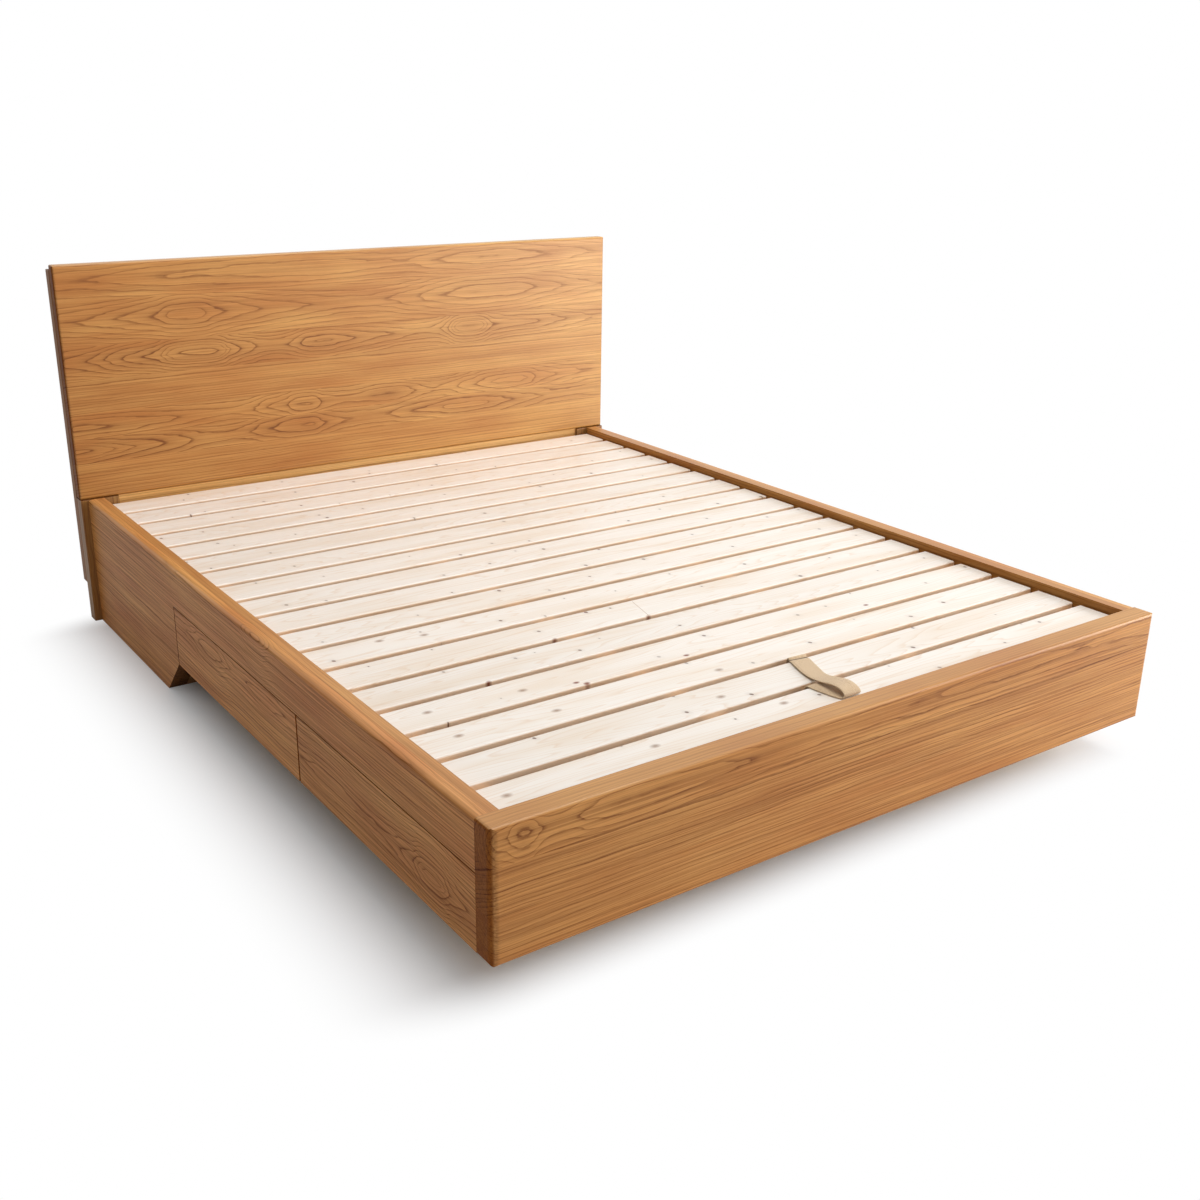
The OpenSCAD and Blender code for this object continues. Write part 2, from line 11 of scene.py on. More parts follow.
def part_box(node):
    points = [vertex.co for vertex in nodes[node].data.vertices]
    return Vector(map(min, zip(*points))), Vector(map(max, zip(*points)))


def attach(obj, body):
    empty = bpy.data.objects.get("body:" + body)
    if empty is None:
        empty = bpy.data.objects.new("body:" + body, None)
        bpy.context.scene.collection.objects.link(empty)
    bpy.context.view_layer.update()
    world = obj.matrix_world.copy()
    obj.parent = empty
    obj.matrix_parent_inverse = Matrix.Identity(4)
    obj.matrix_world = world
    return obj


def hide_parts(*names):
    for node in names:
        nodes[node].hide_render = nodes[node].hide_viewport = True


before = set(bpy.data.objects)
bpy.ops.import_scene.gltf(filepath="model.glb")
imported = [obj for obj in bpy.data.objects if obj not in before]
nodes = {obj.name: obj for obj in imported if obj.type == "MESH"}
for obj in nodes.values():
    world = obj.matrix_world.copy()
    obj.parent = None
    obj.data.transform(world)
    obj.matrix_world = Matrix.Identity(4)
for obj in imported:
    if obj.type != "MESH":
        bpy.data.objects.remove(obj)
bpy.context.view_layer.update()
scene = bpy.context.scene
MM = 0.001


def face_of(name, axis, end):
    """Where a node's box ends on an axis, in millimetres: end 0 is its low side, and end 1 its high side."""
    return round(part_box(name)[end]["XYZ".index(axis)] / MM, 1)


# Camera: the place and aim that put the bed's corners where the photograph has them, in metres, degrees and
# millimetres of lens

CAMERA_PLACE = (-1.6917, -2.5574, 1.3367)
CAMERA_YAW, CAMERA_PITCH, CAMERA_ROLL = 35.454, 20.309, 0.854
CAMERA_LENS, CAMERA_SENSOR = 40.506, 36


def place_camera():
    """Photograph's viewpoint: left of the foot end, at 1.3 m above the floor."""
    yaw, pitch, roll = (math.radians(turn) for turn in (CAMERA_YAW, CAMERA_PITCH, CAMERA_ROLL))
    ahead = Vector((math.sin(yaw) * math.cos(pitch), math.cos(yaw) * math.cos(pitch), -math.sin(pitch)))
    level = Vector((math.cos(yaw), -math.sin(yaw), 0))
    above = level.cross(ahead)
    right = math.cos(roll) * level + math.sin(roll) * above
    up = math.cos(roll) * above - math.sin(roll) * level
    lens = bpy.data.cameras.new("view_from_foot_left")
    lens.sensor_width = CAMERA_SENSOR
    lens.lens = CAMERA_LENS
    lens.clip_end = 60
    camera = bpy.data.objects.new("view_from_foot_left", lens)
    turn = Matrix((right, up, -ahead)).transposed().to_4x4()
    camera.matrix_world = Matrix.Translation(CAMERA_PLACE) @ turn
    scene.collection.objects.link(camera)
    scene.camera = camera


# Colours and nodes


def linear(colour):
    """sRGB hex colour as the linear numbers that a shader wants."""
    parts = [int(colour[i:i + 2], 16) / 255 for i in (1, 3, 5)]
    return tuple(c / 12.92 if c <= 0.04045 else ((c + 0.055) / 1.055) ** 2.4 for c in parts) + (1.0,)


def put(tree, kind, feeds=None, **settings):
    """One node with its settings, and each input fed by a socket or given a value."""
    node = tree.nodes.new(kind)
    for name, value in settings.items():
        setattr(node, name, value)
    for socket, value in (feeds or {}).items():
        if isinstance(value, bpy.types.NodeSocket):
            tree.links.new(value, node.inputs[socket])
        else:
            node.inputs[socket].default_value = value
    return node


def blank_material(name):
    """Empty material with its shader wired to the output."""
    material = bpy.data.materials.new(name)
    material.use_nodes = True
    tree = material.node_tree
    tree.nodes.clear()
    shader = put(tree, "ShaderNodeBsdfPrincipled")
    put(tree, "ShaderNodeOutputMaterial", {"Surface": shader.outputs[0]})
    return material, tree, shader


def shape_ramp(node, stops):
    """Stops of a ramp, each a place and a grey value or a hex colour."""
    ramp = node.color_ramp
    while len(ramp.elements) > 1:
        ramp.elements.remove(ramp.elements[-1])
    for k, (place, value) in enumerate(stops):
        stop = ramp.elements[0] if k == 0 else ramp.elements.new(place)
        stop.position = place
        stop.color = linear(value) if isinstance(value, str) else (value, value, value, 1)


# Timber. A board is cut from a log: its rings are circles round a pith that runs along the board, outside of
# its face, and wanders. Where the pith comes near or draws away, the rings show as arches and ovals.

# Length that a pith's curve covers, middle on the frame's origin, and the greatest distance that it can give,
# in metres
SPAN = 2.4
DEPTH = 0.1
# Distance at which the pith lies deep in the wood, in metres, the depth in millimetres at which it does, and
# how much of its wandering is left there
USUAL_DEPTH = 0.05
SETTLED = 26
LEFT_OVER = 0.12
# How far the rings are on their way from circles to squares on their corners
POINTED = 0.22
# Board glued behind another one: how much higher its pith lies, in millimetres, and how much darker it is
INNER_SHIFT = 26
INNER_TONE = 0.16
# Half the width over which a glue line shows, in millimetres, and its strength
GLUE_WIDTH = 0.9
GLUE_STRENGTH = 0.45
# Middle of a noise's values
HALF = (0.5, 0.5, 0.5)

# top_painted_light multiplies the colour of upward faces: painted light on the tops
ELM = dict(
    pale="#D59F57", middle="#B97839", dark="#753D06", ring_strength=0.80, streak=0.30, pores=0.24,
    roughness=0.36, gloss=0.46, edge_gloss=0.60, top_painted_light=(1.05, 1.05, 1.05, 1), end_tint="#B9A284",
    relief=0.12,
)
# Headboard: the blue-heavy lift on its upward faces is a painted highlight along the rounded top edge
HEAD_ELM = dict(ELM, dark="#79410A", top_painted_light=(1.06, 1.26, 1.68, 1))
DARK_ELM = dict(ELM, pale="#A8713C", middle="#8E5A29", dark="#55290A", gloss=0.2)
FOOT_ELM = dict(
    ELM, pale="#D79D57", middle="#BD7A3A", streak=0.44, ring_strength=0.78, gloss=0.28,
    top_painted_light=(0.96, 1.01, 1.0, 1), end_tint="#C3A97F",
)
# Copy of the elm for the left side, which stands in shade, made redder to make up for the cool light there:
# painted light in its colour
SHADED_SIDE_ELM = dict(ELM, pale="#E0A25C", middle="#C67C40", streak=0.48, ring_strength=0.92, gloss=0.14)
# Left rail: the lift on its upward faces is a painted sheen on the top, and its very dark end tint is darker
# end grain and also painted shade on the sloped face
LEFT_RAIL_ELM = dict(SHADED_SIDE_ELM, edge_gloss=0.40, top_painted_light=(1.02, 1.09, 1.20, 1), end_tint="#54402F")
RIGHT_RAIL_ELM = dict(ELM, gloss=0.14, top_painted_light=(1.04, 1.02, 0.98, 1))
# Drawer fronts: the dark top tint is painted shade on their upper edges, which lie in the seams
LEFT_FRONT_ELM = dict(SHADED_SIDE_ELM, edge_gloss=0.1, top_painted_light=(0.40, 0.34, 0.30, 1))
RIGHT_FRONT_ELM = dict(ELM, gloss=0.14, edge_gloss=0.1, top_painted_light=(0.40, 0.34, 0.30, 1))
PALE_ELM = dict(ELM, pale="#EDBC76", middle="#E0A75C", ring_strength=0.5)
PINE = dict(
    pale="#F0DFC2", middle="#E8D2AE", dark="#C79A62", ring_strength=0.55, streak=0.10, pores=0.05,
    roughness=0.62, gloss=0.4, edge_gloss=0.4, top_painted_light=(1, 1, 1, 1), end_tint="#DDBE90", relief=0.12,
)


def wandering(seed, start, end, mean=42, spread=16, steps=6):
    """Distances of the pith from a face, in millimetres, along a board that the photograph hides."""
    dice = random.Random(seed)
    places = [start + (end - start) * k / steps for k in range(steps + 1)]
    return [(place, mean + dice.uniform(-spread, spread)) for place in places]


def pith_curve(tree, along, depths):
    """Distance of the pith from the face, along a board."""
    part = put(tree, "ShaderNodeMath", {0: along, 1: SPAN / 2}, operation="ADD")
    part = put(tree, "ShaderNodeMath", {0: part.outputs[0], 1: SPAN}, operation="DIVIDE")
    curve = put(tree, "ShaderNodeFloatCurve", {"Value": part.outputs[0]})
    line = curve.mapping.curves[0]
    points = [((u * MM + SPAN / 2) / SPAN, depth * MM / DEPTH) for u, depth in depths]
    line.points[0].location = (0, points[0][1])
    line.points[1].location = (1, points[-1][1])
    for place in points:
        line.points.new(*place)
    curve.mapping.update()
    return put(tree, "ShaderNodeMath", {0: curve.outputs[0], 1: DEPTH}, operation="MULTIPLY").outputs[0]


def timber(name, species, along, up, inward, face, boards, outer=None, painted_light_per_metre=0.0):
    """Solid wood, planed and oiled or bare: arched rings, fine streaks, pore dashes, a satin film.

    along, up and inward are axis letters: the grain's, the one in which boards are stacked, and the one into
    the wood. face is where the visible face lies on the inward axis, in millimetres. boards are listed from
    the lowest: the lower edge, the pith's height, its distances from the face, the board's tone, and how
    strong and how wide its rings are. outer is the thickness of the outer board where a second one is glued
    behind it. painted_light_per_metre says how much paler the wood and fainter its rings are painted for each
    metre along the grain: a painted light gradient that stands for brighter light and sheen towards one end.
    """
    material, tree, shader = blank_material(name)
    surface = put(tree, "ShaderNodeTexCoord")
    spot = put(tree, "ShaderNodeSeparateXYZ", {0: surface.outputs["Object"]}).outputs
    u, v, w = spot["XYZ".index(along)], spot["XYZ".index(up)], spot["XYZ".index(inward)]
    deep = put(tree, "ShaderNodeMath", {0: w, 1: face * MM}, operation="SUBTRACT")
    deep = put(tree, "ShaderNodeMath", {0: deep.outputs[0]}, operation="ABSOLUTE").outputs[0]

    # Which board this is: its pith's height, its tone, how strong and how wide its rings are, and how far
    # from the face its pith lies
    facts = None
    for lower, heart, depths, tone, strength, ring in boards:
        board = (heart * MM, tone, strength, ring * MM, pith_curve(tree, u, depths))
        if facts is None:
            facts = board
            continue
        above = put(tree, "ShaderNodeMath", {0: v, 1: lower * MM}, operation="GREATER_THAN").outputs[0]
        facts = [
            put(tree, "ShaderNodeMix", {0: above, 2: old, 3: new}).outputs[0]
            for old, new in zip(facts, board)
        ]
    heart, tone, strength, ring, depth = facts
    if outer:
        behind = put(tree, "ShaderNodeMath", {0: deep, 1: outer * MM}, operation="GREATER_THAN").outputs[0]
        other = put(tree, "ShaderNodeMath", {0: behind, 1: INNER_SHIFT * MM}, operation="MULTIPLY").outputs[0]
        heart = put(tree, "ShaderNodeMath", {0: heart, 1: other}, operation="ADD").outputs[0]
        other = put(tree, "ShaderNodeMath", {0: behind, 1: INNER_TONE}, operation="MULTIPLY").outputs[0]
        tone = put(tree, "ShaderNodeMath", {0: tone, 1: other}, operation="SUBTRACT").outputs[0]

    # How the log's axis wanders: up to 12 mm over the whole board, up to 8 mm in kinks about 20 mm apart, and
    # in a fine tremble about 5 mm apart. The height of a board's pith picks its place in the noises.
    offset = put(tree, "ShaderNodeMath", {0: heart, 1: 37.0}, operation="MULTIPLY").outputs[0]
    moves = []
    for run, cross, detail, reach in ((1.5, 7.0, 1.0, 12), (10.0, 46.0, 2.0, 8), (36.0, 220.0, 1.0, 0.8)):
        place = put(tree, "ShaderNodeCombineXYZ", {
            0: put(tree, "ShaderNodeMath", {0: u, 1: run}, operation="MULTIPLY").outputs[0],
            1: put(tree, "ShaderNodeMath", {0: v, 1: cross}, operation="MULTIPLY").outputs[0],
            2: offset,
        }).outputs[0]
        drift = put(
            tree, "ShaderNodeTexNoise", {"Vector": place, "Scale": 1.0, "Detail": detail}
        ).outputs["Color"]
        drift = put(tree, "ShaderNodeVectorMath", {0: drift, 1: HALF}, operation="SUBTRACT").outputs[0]
        drift = put(tree, "ShaderNodeVectorMath", {0: drift, "Scale": reach * MM}, operation="SCALE")
        moves.append(drift.outputs[0])
    wander = put(tree, "ShaderNodeVectorMath", {0: moves[0], 1: moves[1]}, operation="ADD").outputs[0]
    wander = put(tree, "ShaderNodeVectorMath", {0: wander, 1: moves[2]}, operation="ADD").outputs[0]
    aside, behind, _ = put(tree, "ShaderNodeSeparateXYZ", {0: wander}).outputs

    # Distance from the pith, counted in rings. The rings are a little pointed in front of the pith, so that
    # their arches and ovals end in a point. Deeper in the wood the pith lies straighter, so that a board's
    # edges show straight lines.
    off = put(tree, "ShaderNodeMath", {0: v, 1: heart}, operation="SUBTRACT").outputs[0]
    off = put(tree, "ShaderNodeMath", {0: off, 1: aside}, operation="ADD").outputs[0]
    off = put(tree, "ShaderNodeMath", {0: off}, operation="ABSOLUTE").outputs[0]
    shallow = put(
        tree, "ShaderNodeMapRange",
        {"Value": deep, "From Max": SETTLED * MM, "To Min": 1.0, "To Max": LEFT_OVER}
    ).outputs[0]
    depth = put(tree, "ShaderNodeMath", {0: depth, 1: USUAL_DEPTH}, operation="SUBTRACT").outputs[0]
    depth = put(
        tree, "ShaderNodeMath", {0: depth, 1: shallow, 2: USUAL_DEPTH}, operation="MULTIPLY_ADD"
    ).outputs[0]
    low = put(tree, "ShaderNodeMath", {0: deep, 1: depth}, operation="ADD").outputs[0]
    low = put(tree, "ShaderNodeMath", {0: low, 1: behind}, operation="ADD").outputs[0]
    reach = put(tree, "ShaderNodeCombineXYZ", {0: off, 1: low})
    reach = put(tree, "ShaderNodeVectorMath", {0: reach.outputs[0]}, operation="LENGTH").outputs["Value"]
    straight = put(tree, "ShaderNodeMath", {0: off, 1: low}, operation="ADD").outputs[0]
    reach = put(tree, "ShaderNodeMix", {0: POINTED, 2: reach, 3: straight}).outputs[0]
    count = put(tree, "ShaderNodeMath", {0: reach, 1: ring}, operation="DIVIDE").outputs[0]
    years = put(tree, "ShaderNodeTexNoise", {"W": count, "Scale": 0.33, "Detail": 1.0}, noise_dimensions="1D")
    years = put(tree, "ShaderNodeMath", {0: years.outputs[0], 1: 1.5}, operation="MULTIPLY").outputs[0]
    count = put(tree, "ShaderNodeMath", {0: count, 1: years}, operation="ADD").outputs[0]
    part = put(tree, "ShaderNodeMath", {0: count}, operation="FRACT").outputs[0]
    year = put(tree, "ShaderNodeMath", {0: count}, operation="FLOOR").outputs[0]
    line = put(tree, "ShaderNodeValToRGB", {0: part})
    shape_ramp(line, [
        (0.0, 1.0), (0.08, 0.85), (0.18, 0.32), (0.38, 0.14), (0.75, 0.02), (0.94, 0.05), (1.0, 1.0)
    ])
    luck = put(tree, "ShaderNodeTexWhiteNoise", {"W": year}, noise_dimensions="1D").outputs["Value"]
    luck = put(
        tree, "ShaderNodeMapRange", {"Value": luck, "To Min": 0.30 * species["ring_strength"],
                                     "To Max": species["ring_strength"]}
    ).outputs[0]
    luck = put(tree, "ShaderNodeMath", {0: luck, 1: strength}, operation="MULTIPLY").outputs[0]
    # Rings grow fainter along the grain with the painted light gradient
    clear = put(tree, "ShaderNodeMath", {0: u, 1: -painted_light_per_metre, 2: 1.0}, operation="MULTIPLY_ADD").outputs[0]
    luck = put(tree, "ShaderNodeMath", {0: luck, 1: clear}, operation="MULTIPLY").outputs[0]
    line = put(tree, "ShaderNodeMath", {0: line.outputs[0], 1: luck}, operation="MULTIPLY").outputs[0]

    # Fibre streaks about 2 mm and 5 mm apart, and the open pores of the early wood in dashes about 17 mm long
    # and 1 mm apart, which is coarser than the real ones, so that they show
    fibres = []
    for run, cross, detail in ((3.5, 460.0, 2.0), (2.0, 200.0, 1.5), (60.0, 1100.0, 1.0)):
        place = put(tree, "ShaderNodeVectorMath", {0: surface.outputs["Object"], 1: tuple(
            run if axis == along else cross for axis in "XYZ"
        )}, operation="MULTIPLY").outputs[0]
        fibre = put(tree, "ShaderNodeTexNoise", {"Vector": place, "Scale": 1.0, "Detail": detail})
        fibres.append(fibre.outputs[0])
    fibre = put(tree, "ShaderNodeMix", {0: 0.45, 2: fibres[0], 3: fibres[1]}).outputs[0]
    pore = put(
        tree, "ShaderNodeMapRange", {"Value": fibres[2], "From Min": 0.54, "From Max": 0.68},
        interpolation_type="SMOOTHSTEP"
    ).outputs[0]
    pore_share = put(tree, "ShaderNodeMapRange", {"Value": line, "To Min": 0.30, "To Max": 1.0}).outputs[0]
    pore = put(tree, "ShaderNodeMath", {0: pore, 1: pore_share}, operation="MULTIPLY").outputs[0]

    # Where the surface is end grain, and where it faces upward: a board's upper edge, which is rubbed
    # smoother than its face and takes the species' painted light
    normal = put(tree, "ShaderNodeSeparateXYZ", {0: surface.outputs["Normal"]}).outputs
    end = put(tree, "ShaderNodeMath", {0: normal["XYZ".index(along)]}, operation="ABSOLUTE").outputs[0]
    end, edge = (
        put(
            tree, "ShaderNodeMapRange", {"Value": share, "From Min": 0.50, "From Max": 0.80},
            interpolation_type="SMOOTHSTEP"
        ).outputs[0]
        for share in (end, normal["XYZ".index(up)])
    )
    faint = put(tree, "ShaderNodeMapRange", {"Value": edge, "To Min": 1.0, "To Max": 0.55}).outputs[0]

    # Colour: cloudy between two tones, darker along the rings, in the streaks and in the pores
    wide = put(tree, "ShaderNodeMath", {0: u, 1: 3.0}, operation="MULTIPLY").outputs[0]
    tall = put(tree, "ShaderNodeMath", {0: v, 1: 16.0}, operation="MULTIPLY").outputs[0]
    place = put(tree, "ShaderNodeCombineXYZ", {0: wide, 1: tall, 2: offset})
    cloud = put(
        tree, "ShaderNodeTexNoise", {"Vector": place.outputs[0], "Scale": 1.0, "Detail": 3.0}
    ).outputs[0]
    cloud = put(tree, "ShaderNodeMapRange", {"Value": cloud, "From Min": 0.22, "From Max": 0.78}).outputs[0]
    # The cloud leans to the pale tone along the grain: the painted light gradient
    cloud = put(
        tree, "ShaderNodeMath", {0: u, 1: -painted_light_per_metre, 2: cloud}, operation="MULTIPLY_ADD", use_clamp=True
    ).outputs[0]
    base = put(
        tree, "ShaderNodeMix", {0: cloud, 6: linear(species["pale"]), 7: linear(species["middle"])},
        data_type="RGBA"
    ).outputs[2]
    streak = put(
        tree, "ShaderNodeMapRange",
        {"Value": fibre, "From Min": 0.41, "From Max": 0.59, "To Min": 0.0, "To Max": species["streak"]}
    ).outputs[0]
    pore_dark = put(tree, "ShaderNodeMath", {0: pore, 1: species["pores"]}, operation="MULTIPLY").outputs[0]
    mark = put(tree, "ShaderNodeMath", {0: line, 1: streak}, operation="ADD").outputs[0]
    mark = put(tree, "ShaderNodeMath", {0: mark, 1: pore_dark}, operation="ADD", use_clamp=True).outputs[0]
    mark = put(tree, "ShaderNodeMath", {0: mark, 1: faint}, operation="MULTIPLY").outputs[0]
    if outer:
        glue = put(tree, "ShaderNodeMath", {0: deep, 1: outer * MM}, operation="SUBTRACT").outputs[0]
        glue = put(tree, "ShaderNodeMath", {0: glue}, operation="ABSOLUTE").outputs[0]
        glue = put(
            tree, "ShaderNodeMapRange",
            {"Value": glue, "From Max": GLUE_WIDTH * MM, "To Min": GLUE_STRENGTH, "To Max": 0.0}
        ).outputs[0]
        mark = put(tree, "ShaderNodeMath", {0: mark, 1: glue}, operation="ADD", use_clamp=True).outputs[0]
    colour = put(
        tree, "ShaderNodeMix", {0: mark, 6: base, 7: linear(species["dark"])}, data_type="RGBA"
    ).outputs[2]
    colour = put(tree, "ShaderNodeHueSaturation", {"Value": tone, "Color": colour}).outputs[0]

    # Upper edge in the species' painted light: a painted sheen and highlight on tops, and painted shade on
    # the drawer fronts' upper edges, which lie in seams. End grain, which drinks more oil, looks darker and
    # stays matt; the left rail's dark end tint also paints shade on its sloped face
    colour = put(
        tree, "ShaderNodeMix", {0: edge, 6: colour, 7: species["top_painted_light"]}, data_type="RGBA",
        blend_type="MULTIPLY"
    ).outputs[2]
    colour = put(
        tree, "ShaderNodeMix", {0: end, 6: colour, 7: linear(species["end_tint"])}, data_type="RGBA",
        blend_type="MULTIPLY"
    ).outputs[2]
    tree.links.new(colour, shader.inputs["Base Color"])

    rough = put(
        tree, "ShaderNodeMapRange",
        {"Value": mark, "To Min": species["roughness"], "To Max": species["roughness"] + 0.14}
    ).outputs[0]
    tree.links.new(rough, shader.inputs["Roughness"])
    shader.inputs["IOR"].default_value = 1.47
    gloss = put(
        tree, "ShaderNodeMapRange",
        {"Value": edge, "To Min": species["gloss"], "To Max": species["edge_gloss"]}
    ).outputs[0]
    gloss = put(tree, "ShaderNodeMix", {0: end, 2: gloss, 3: 0.06}).outputs[0]
    tree.links.new(gloss, shader.inputs["Specular IOR Level"])
    sunk = put(tree, "ShaderNodeMath", {0: 1.0, 1: mark}, operation="SUBTRACT").outputs[0]
    relief = put(
        tree, "ShaderNodeBump", {"Height": sunk, "Strength": species["relief"], "Distance": 0.3 * MM}
    ).outputs[0]
    tree.links.new(relief, shader.inputs["Normal"])
    return material


# Slats' marks at the places where the photograph shows them, as x and y in millimetres: knots that the saw
# cut at a slat's edge, knots of small branches, and one glued finger joint that runs obliquely over a slat,
# with its start, its direction and its length
EDGE_KNOTS = [
    (-63, -450), (-133, -663), (-388, -654), (-373, -667), (-300, -450), (-604, -676), (-521, -561),
    (-694, -454), (371, -655)
]
BRANCH_KNOTS = [
    (-490, -629), (-486, -736), (-126, -754), (-203, -852), (-425, -945), (-125, -936), (-723, -954),
    (-681, -617), (-681, -729), (-601, -268), (-511, -288)
]
JOINT_START, JOINT_RUN, JOINT_LENGTH = (-42, -361), (-0.234, -0.972), 87
# Pin knots: how many cells there are to a metre along and across the slats, the share of the cells that hold
# one, and the knots' smallest and largest radius in millimetres
PIN_ALONG, PIN_ACROSS = 7.5, 14.0
PIN_SHARE = 0.46
PIN_RADIUS = (1.8, 4.6)


def planed_pine_slats(first_edge, pitch):
    """Planed bare pine: pale cream with faint grain along the slat, small brown knots, and side faces tinted
    warmer.

    first_edge is the middle of the gap before the first slat, and pitch goes from slat to slat, in metres.
    """
    material, tree, shader = blank_material("planed_pine_slats")
    surface = put(tree, "ShaderNodeTexCoord")
    x, y, z = put(tree, "ShaderNodeSeparateXYZ", {0: surface.outputs["Object"]}).outputs
    from_first = put(tree, "ShaderNodeMath", {0: y, 1: first_edge}, operation="SUBTRACT").outputs[0]
    number = put(tree, "ShaderNodeMath", {0: from_first, 1: pitch}, operation="DIVIDE").outputs[0]
    number = put(tree, "ShaderNodeMath", {0: number}, operation="FLOOR").outputs[0]
    luck = put(tree, "ShaderNodeTexWhiteNoise", {"W": number}, noise_dimensions="1D")
    shift = put(
        tree, "ShaderNodeVectorMath", {0: luck.outputs["Color"], "Scale": 40.0}, operation="SCALE"
    ).outputs[0]
    apart_x, apart_y, apart_z = put(tree, "ShaderNodeSeparateXYZ", {0: shift}).outputs

    # Grain: soft rings stretched along the slat, at another place in the log for each slat
    stretched = put(tree, "ShaderNodeMath", {0: x, 1: 1.1}, operation="MULTIPLY").outputs[0]
    stretched = put(tree, "ShaderNodeMath", {0: stretched, 1: apart_x}, operation="ADD").outputs[0]
    across = put(tree, "ShaderNodeMath", {0: y, 1: 15.0}, operation="MULTIPLY").outputs[0]
    deep = put(tree, "ShaderNodeMath", {0: z, 1: 15.0}, operation="MULTIPLY").outputs[0]
    deep = put(tree, "ShaderNodeMath", {0: deep, 1: apart_y}, operation="ADD").outputs[0]
    place = put(tree, "ShaderNodeCombineXYZ", {0: stretched, 1: across, 2: deep}).outputs[0]
    figure = put(tree, "ShaderNodeTexNoise", {"Vector": place, "Scale": 1.0, "Detail": 1.5}).outputs[0]
    rings = put(tree, "ShaderNodeMath", {0: figure, 1: 26.0}, operation="MULTIPLY").outputs[0]
    rings = put(tree, "ShaderNodeMath", {0: rings}, operation="FRACT").outputs[0]
    grain = put(tree, "ShaderNodeValToRGB", {0: rings})
    shape_ramp(grain, [(0.0, 0.0), (0.7, 0.22), (0.92, 1.0), (1.0, 0.0)])

    # Pin knots, 4 to 9 mm wide, in nearly every second cell of 133 by 71 mm, a little slanted to the grain
    wide = put(tree, "ShaderNodeMath", {0: x, 1: PIN_ALONG}, operation="MULTIPLY").outputs[0]
    wide = put(tree, "ShaderNodeMath", {0: wide, 1: apart_y}, operation="ADD").outputs[0]
    tall = put(tree, "ShaderNodeMath", {0: y, 1: PIN_ACROSS}, operation="MULTIPLY").outputs[0]
    place = put(tree, "ShaderNodeCombineXYZ", {0: wide, 1: tall}).outputs[0]
    cells = put(
        tree, "ShaderNodeTexVoronoi", {"Vector": place, "Scale": 1.0, "Randomness": 1.0},
        voronoi_dimensions="2D"
    )
    centre = put(
        tree, "ShaderNodeVectorMath", {0: place, 1: cells.outputs["Position"]}, operation="SUBTRACT"
    ).outputs[0]
    out_x, out_y, _ = put(tree, "ShaderNodeSeparateXYZ", {0: centre}).outputs
    out_x = put(tree, "ShaderNodeMath", {0: out_x, 1: 1 / PIN_ALONG}, operation="MULTIPLY").outputs[0]
    out_y = put(tree, "ShaderNodeMath", {0: out_y, 1: 1 / PIN_ACROSS}, operation="MULTIPLY").outputs[0]
    lean = put(tree, "ShaderNodeMath", {0: out_x, 1: 0.35}, operation="MULTIPLY").outputs[0]
    out_y = put(tree, "ShaderNodeMath", {0: out_y, 1: lean}, operation="ADD").outputs[0]
    out_y = put(tree, "ShaderNodeMath", {0: out_y, 1: 0.9}, operation="MULTIPLY").outputs[0]
    away = put(tree, "ShaderNodeCombineXYZ", {0: out_x, 1: out_y}).outputs[0]
    away = put(tree, "ShaderNodeVectorMath", {0: away}, operation="LENGTH").outputs["Value"]
    size, dark, keep = put(tree, "ShaderNodeSeparateXYZ", {0: cells.outputs["Color"]}).outputs
    size = put(
        tree, "ShaderNodeMapRange",
        {"Value": size, "To Min": PIN_RADIUS[0] * MM, "To Max": PIN_RADIUS[1] * MM}
    ).outputs[0]
    near = put(tree, "ShaderNodeMath", {0: away, 1: size}, operation="DIVIDE").outputs[0]
    knot = put(tree, "ShaderNodeValToRGB", {0: near})
    shape_ramp(knot, [(0.0, 0.90), (0.55, 1.0), (0.80, 0.65), (1.0, 0.12)])
    halo = put(
        tree, "ShaderNodeMapRange",
        {"Value": near, "From Min": 0.9, "From Max": 3.2, "To Min": 0.16, "To Max": 0.0}
    ).outputs[0]
    inside = put(tree, "ShaderNodeMath", {0: near, 1: 1.0}, operation="LESS_THAN").outputs[0]
    knot = put(tree, "ShaderNodeMath", {0: knot.outputs[0], 1: inside}, operation="MULTIPLY").outputs[0]
    knot = put(tree, "ShaderNodeMath", {0: knot, 1: halo}, operation="ADD").outputs[0]
    kept = put(tree, "ShaderNodeMath", {0: keep, 1: PIN_SHARE}, operation="LESS_THAN").outputs[0]
    knot = put(tree, "ShaderNodeMath", {0: knot, 1: kept}, operation="MULTIPLY").outputs[0]
    dark = put(tree, "ShaderNodeMapRange", {"Value": dark, "To Min": 0.45, "To Max": 1.0}).outputs[0]
    knot = put(tree, "ShaderNodeMath", {0: knot, 1: dark}, operation="MULTIPLY").outputs[0]

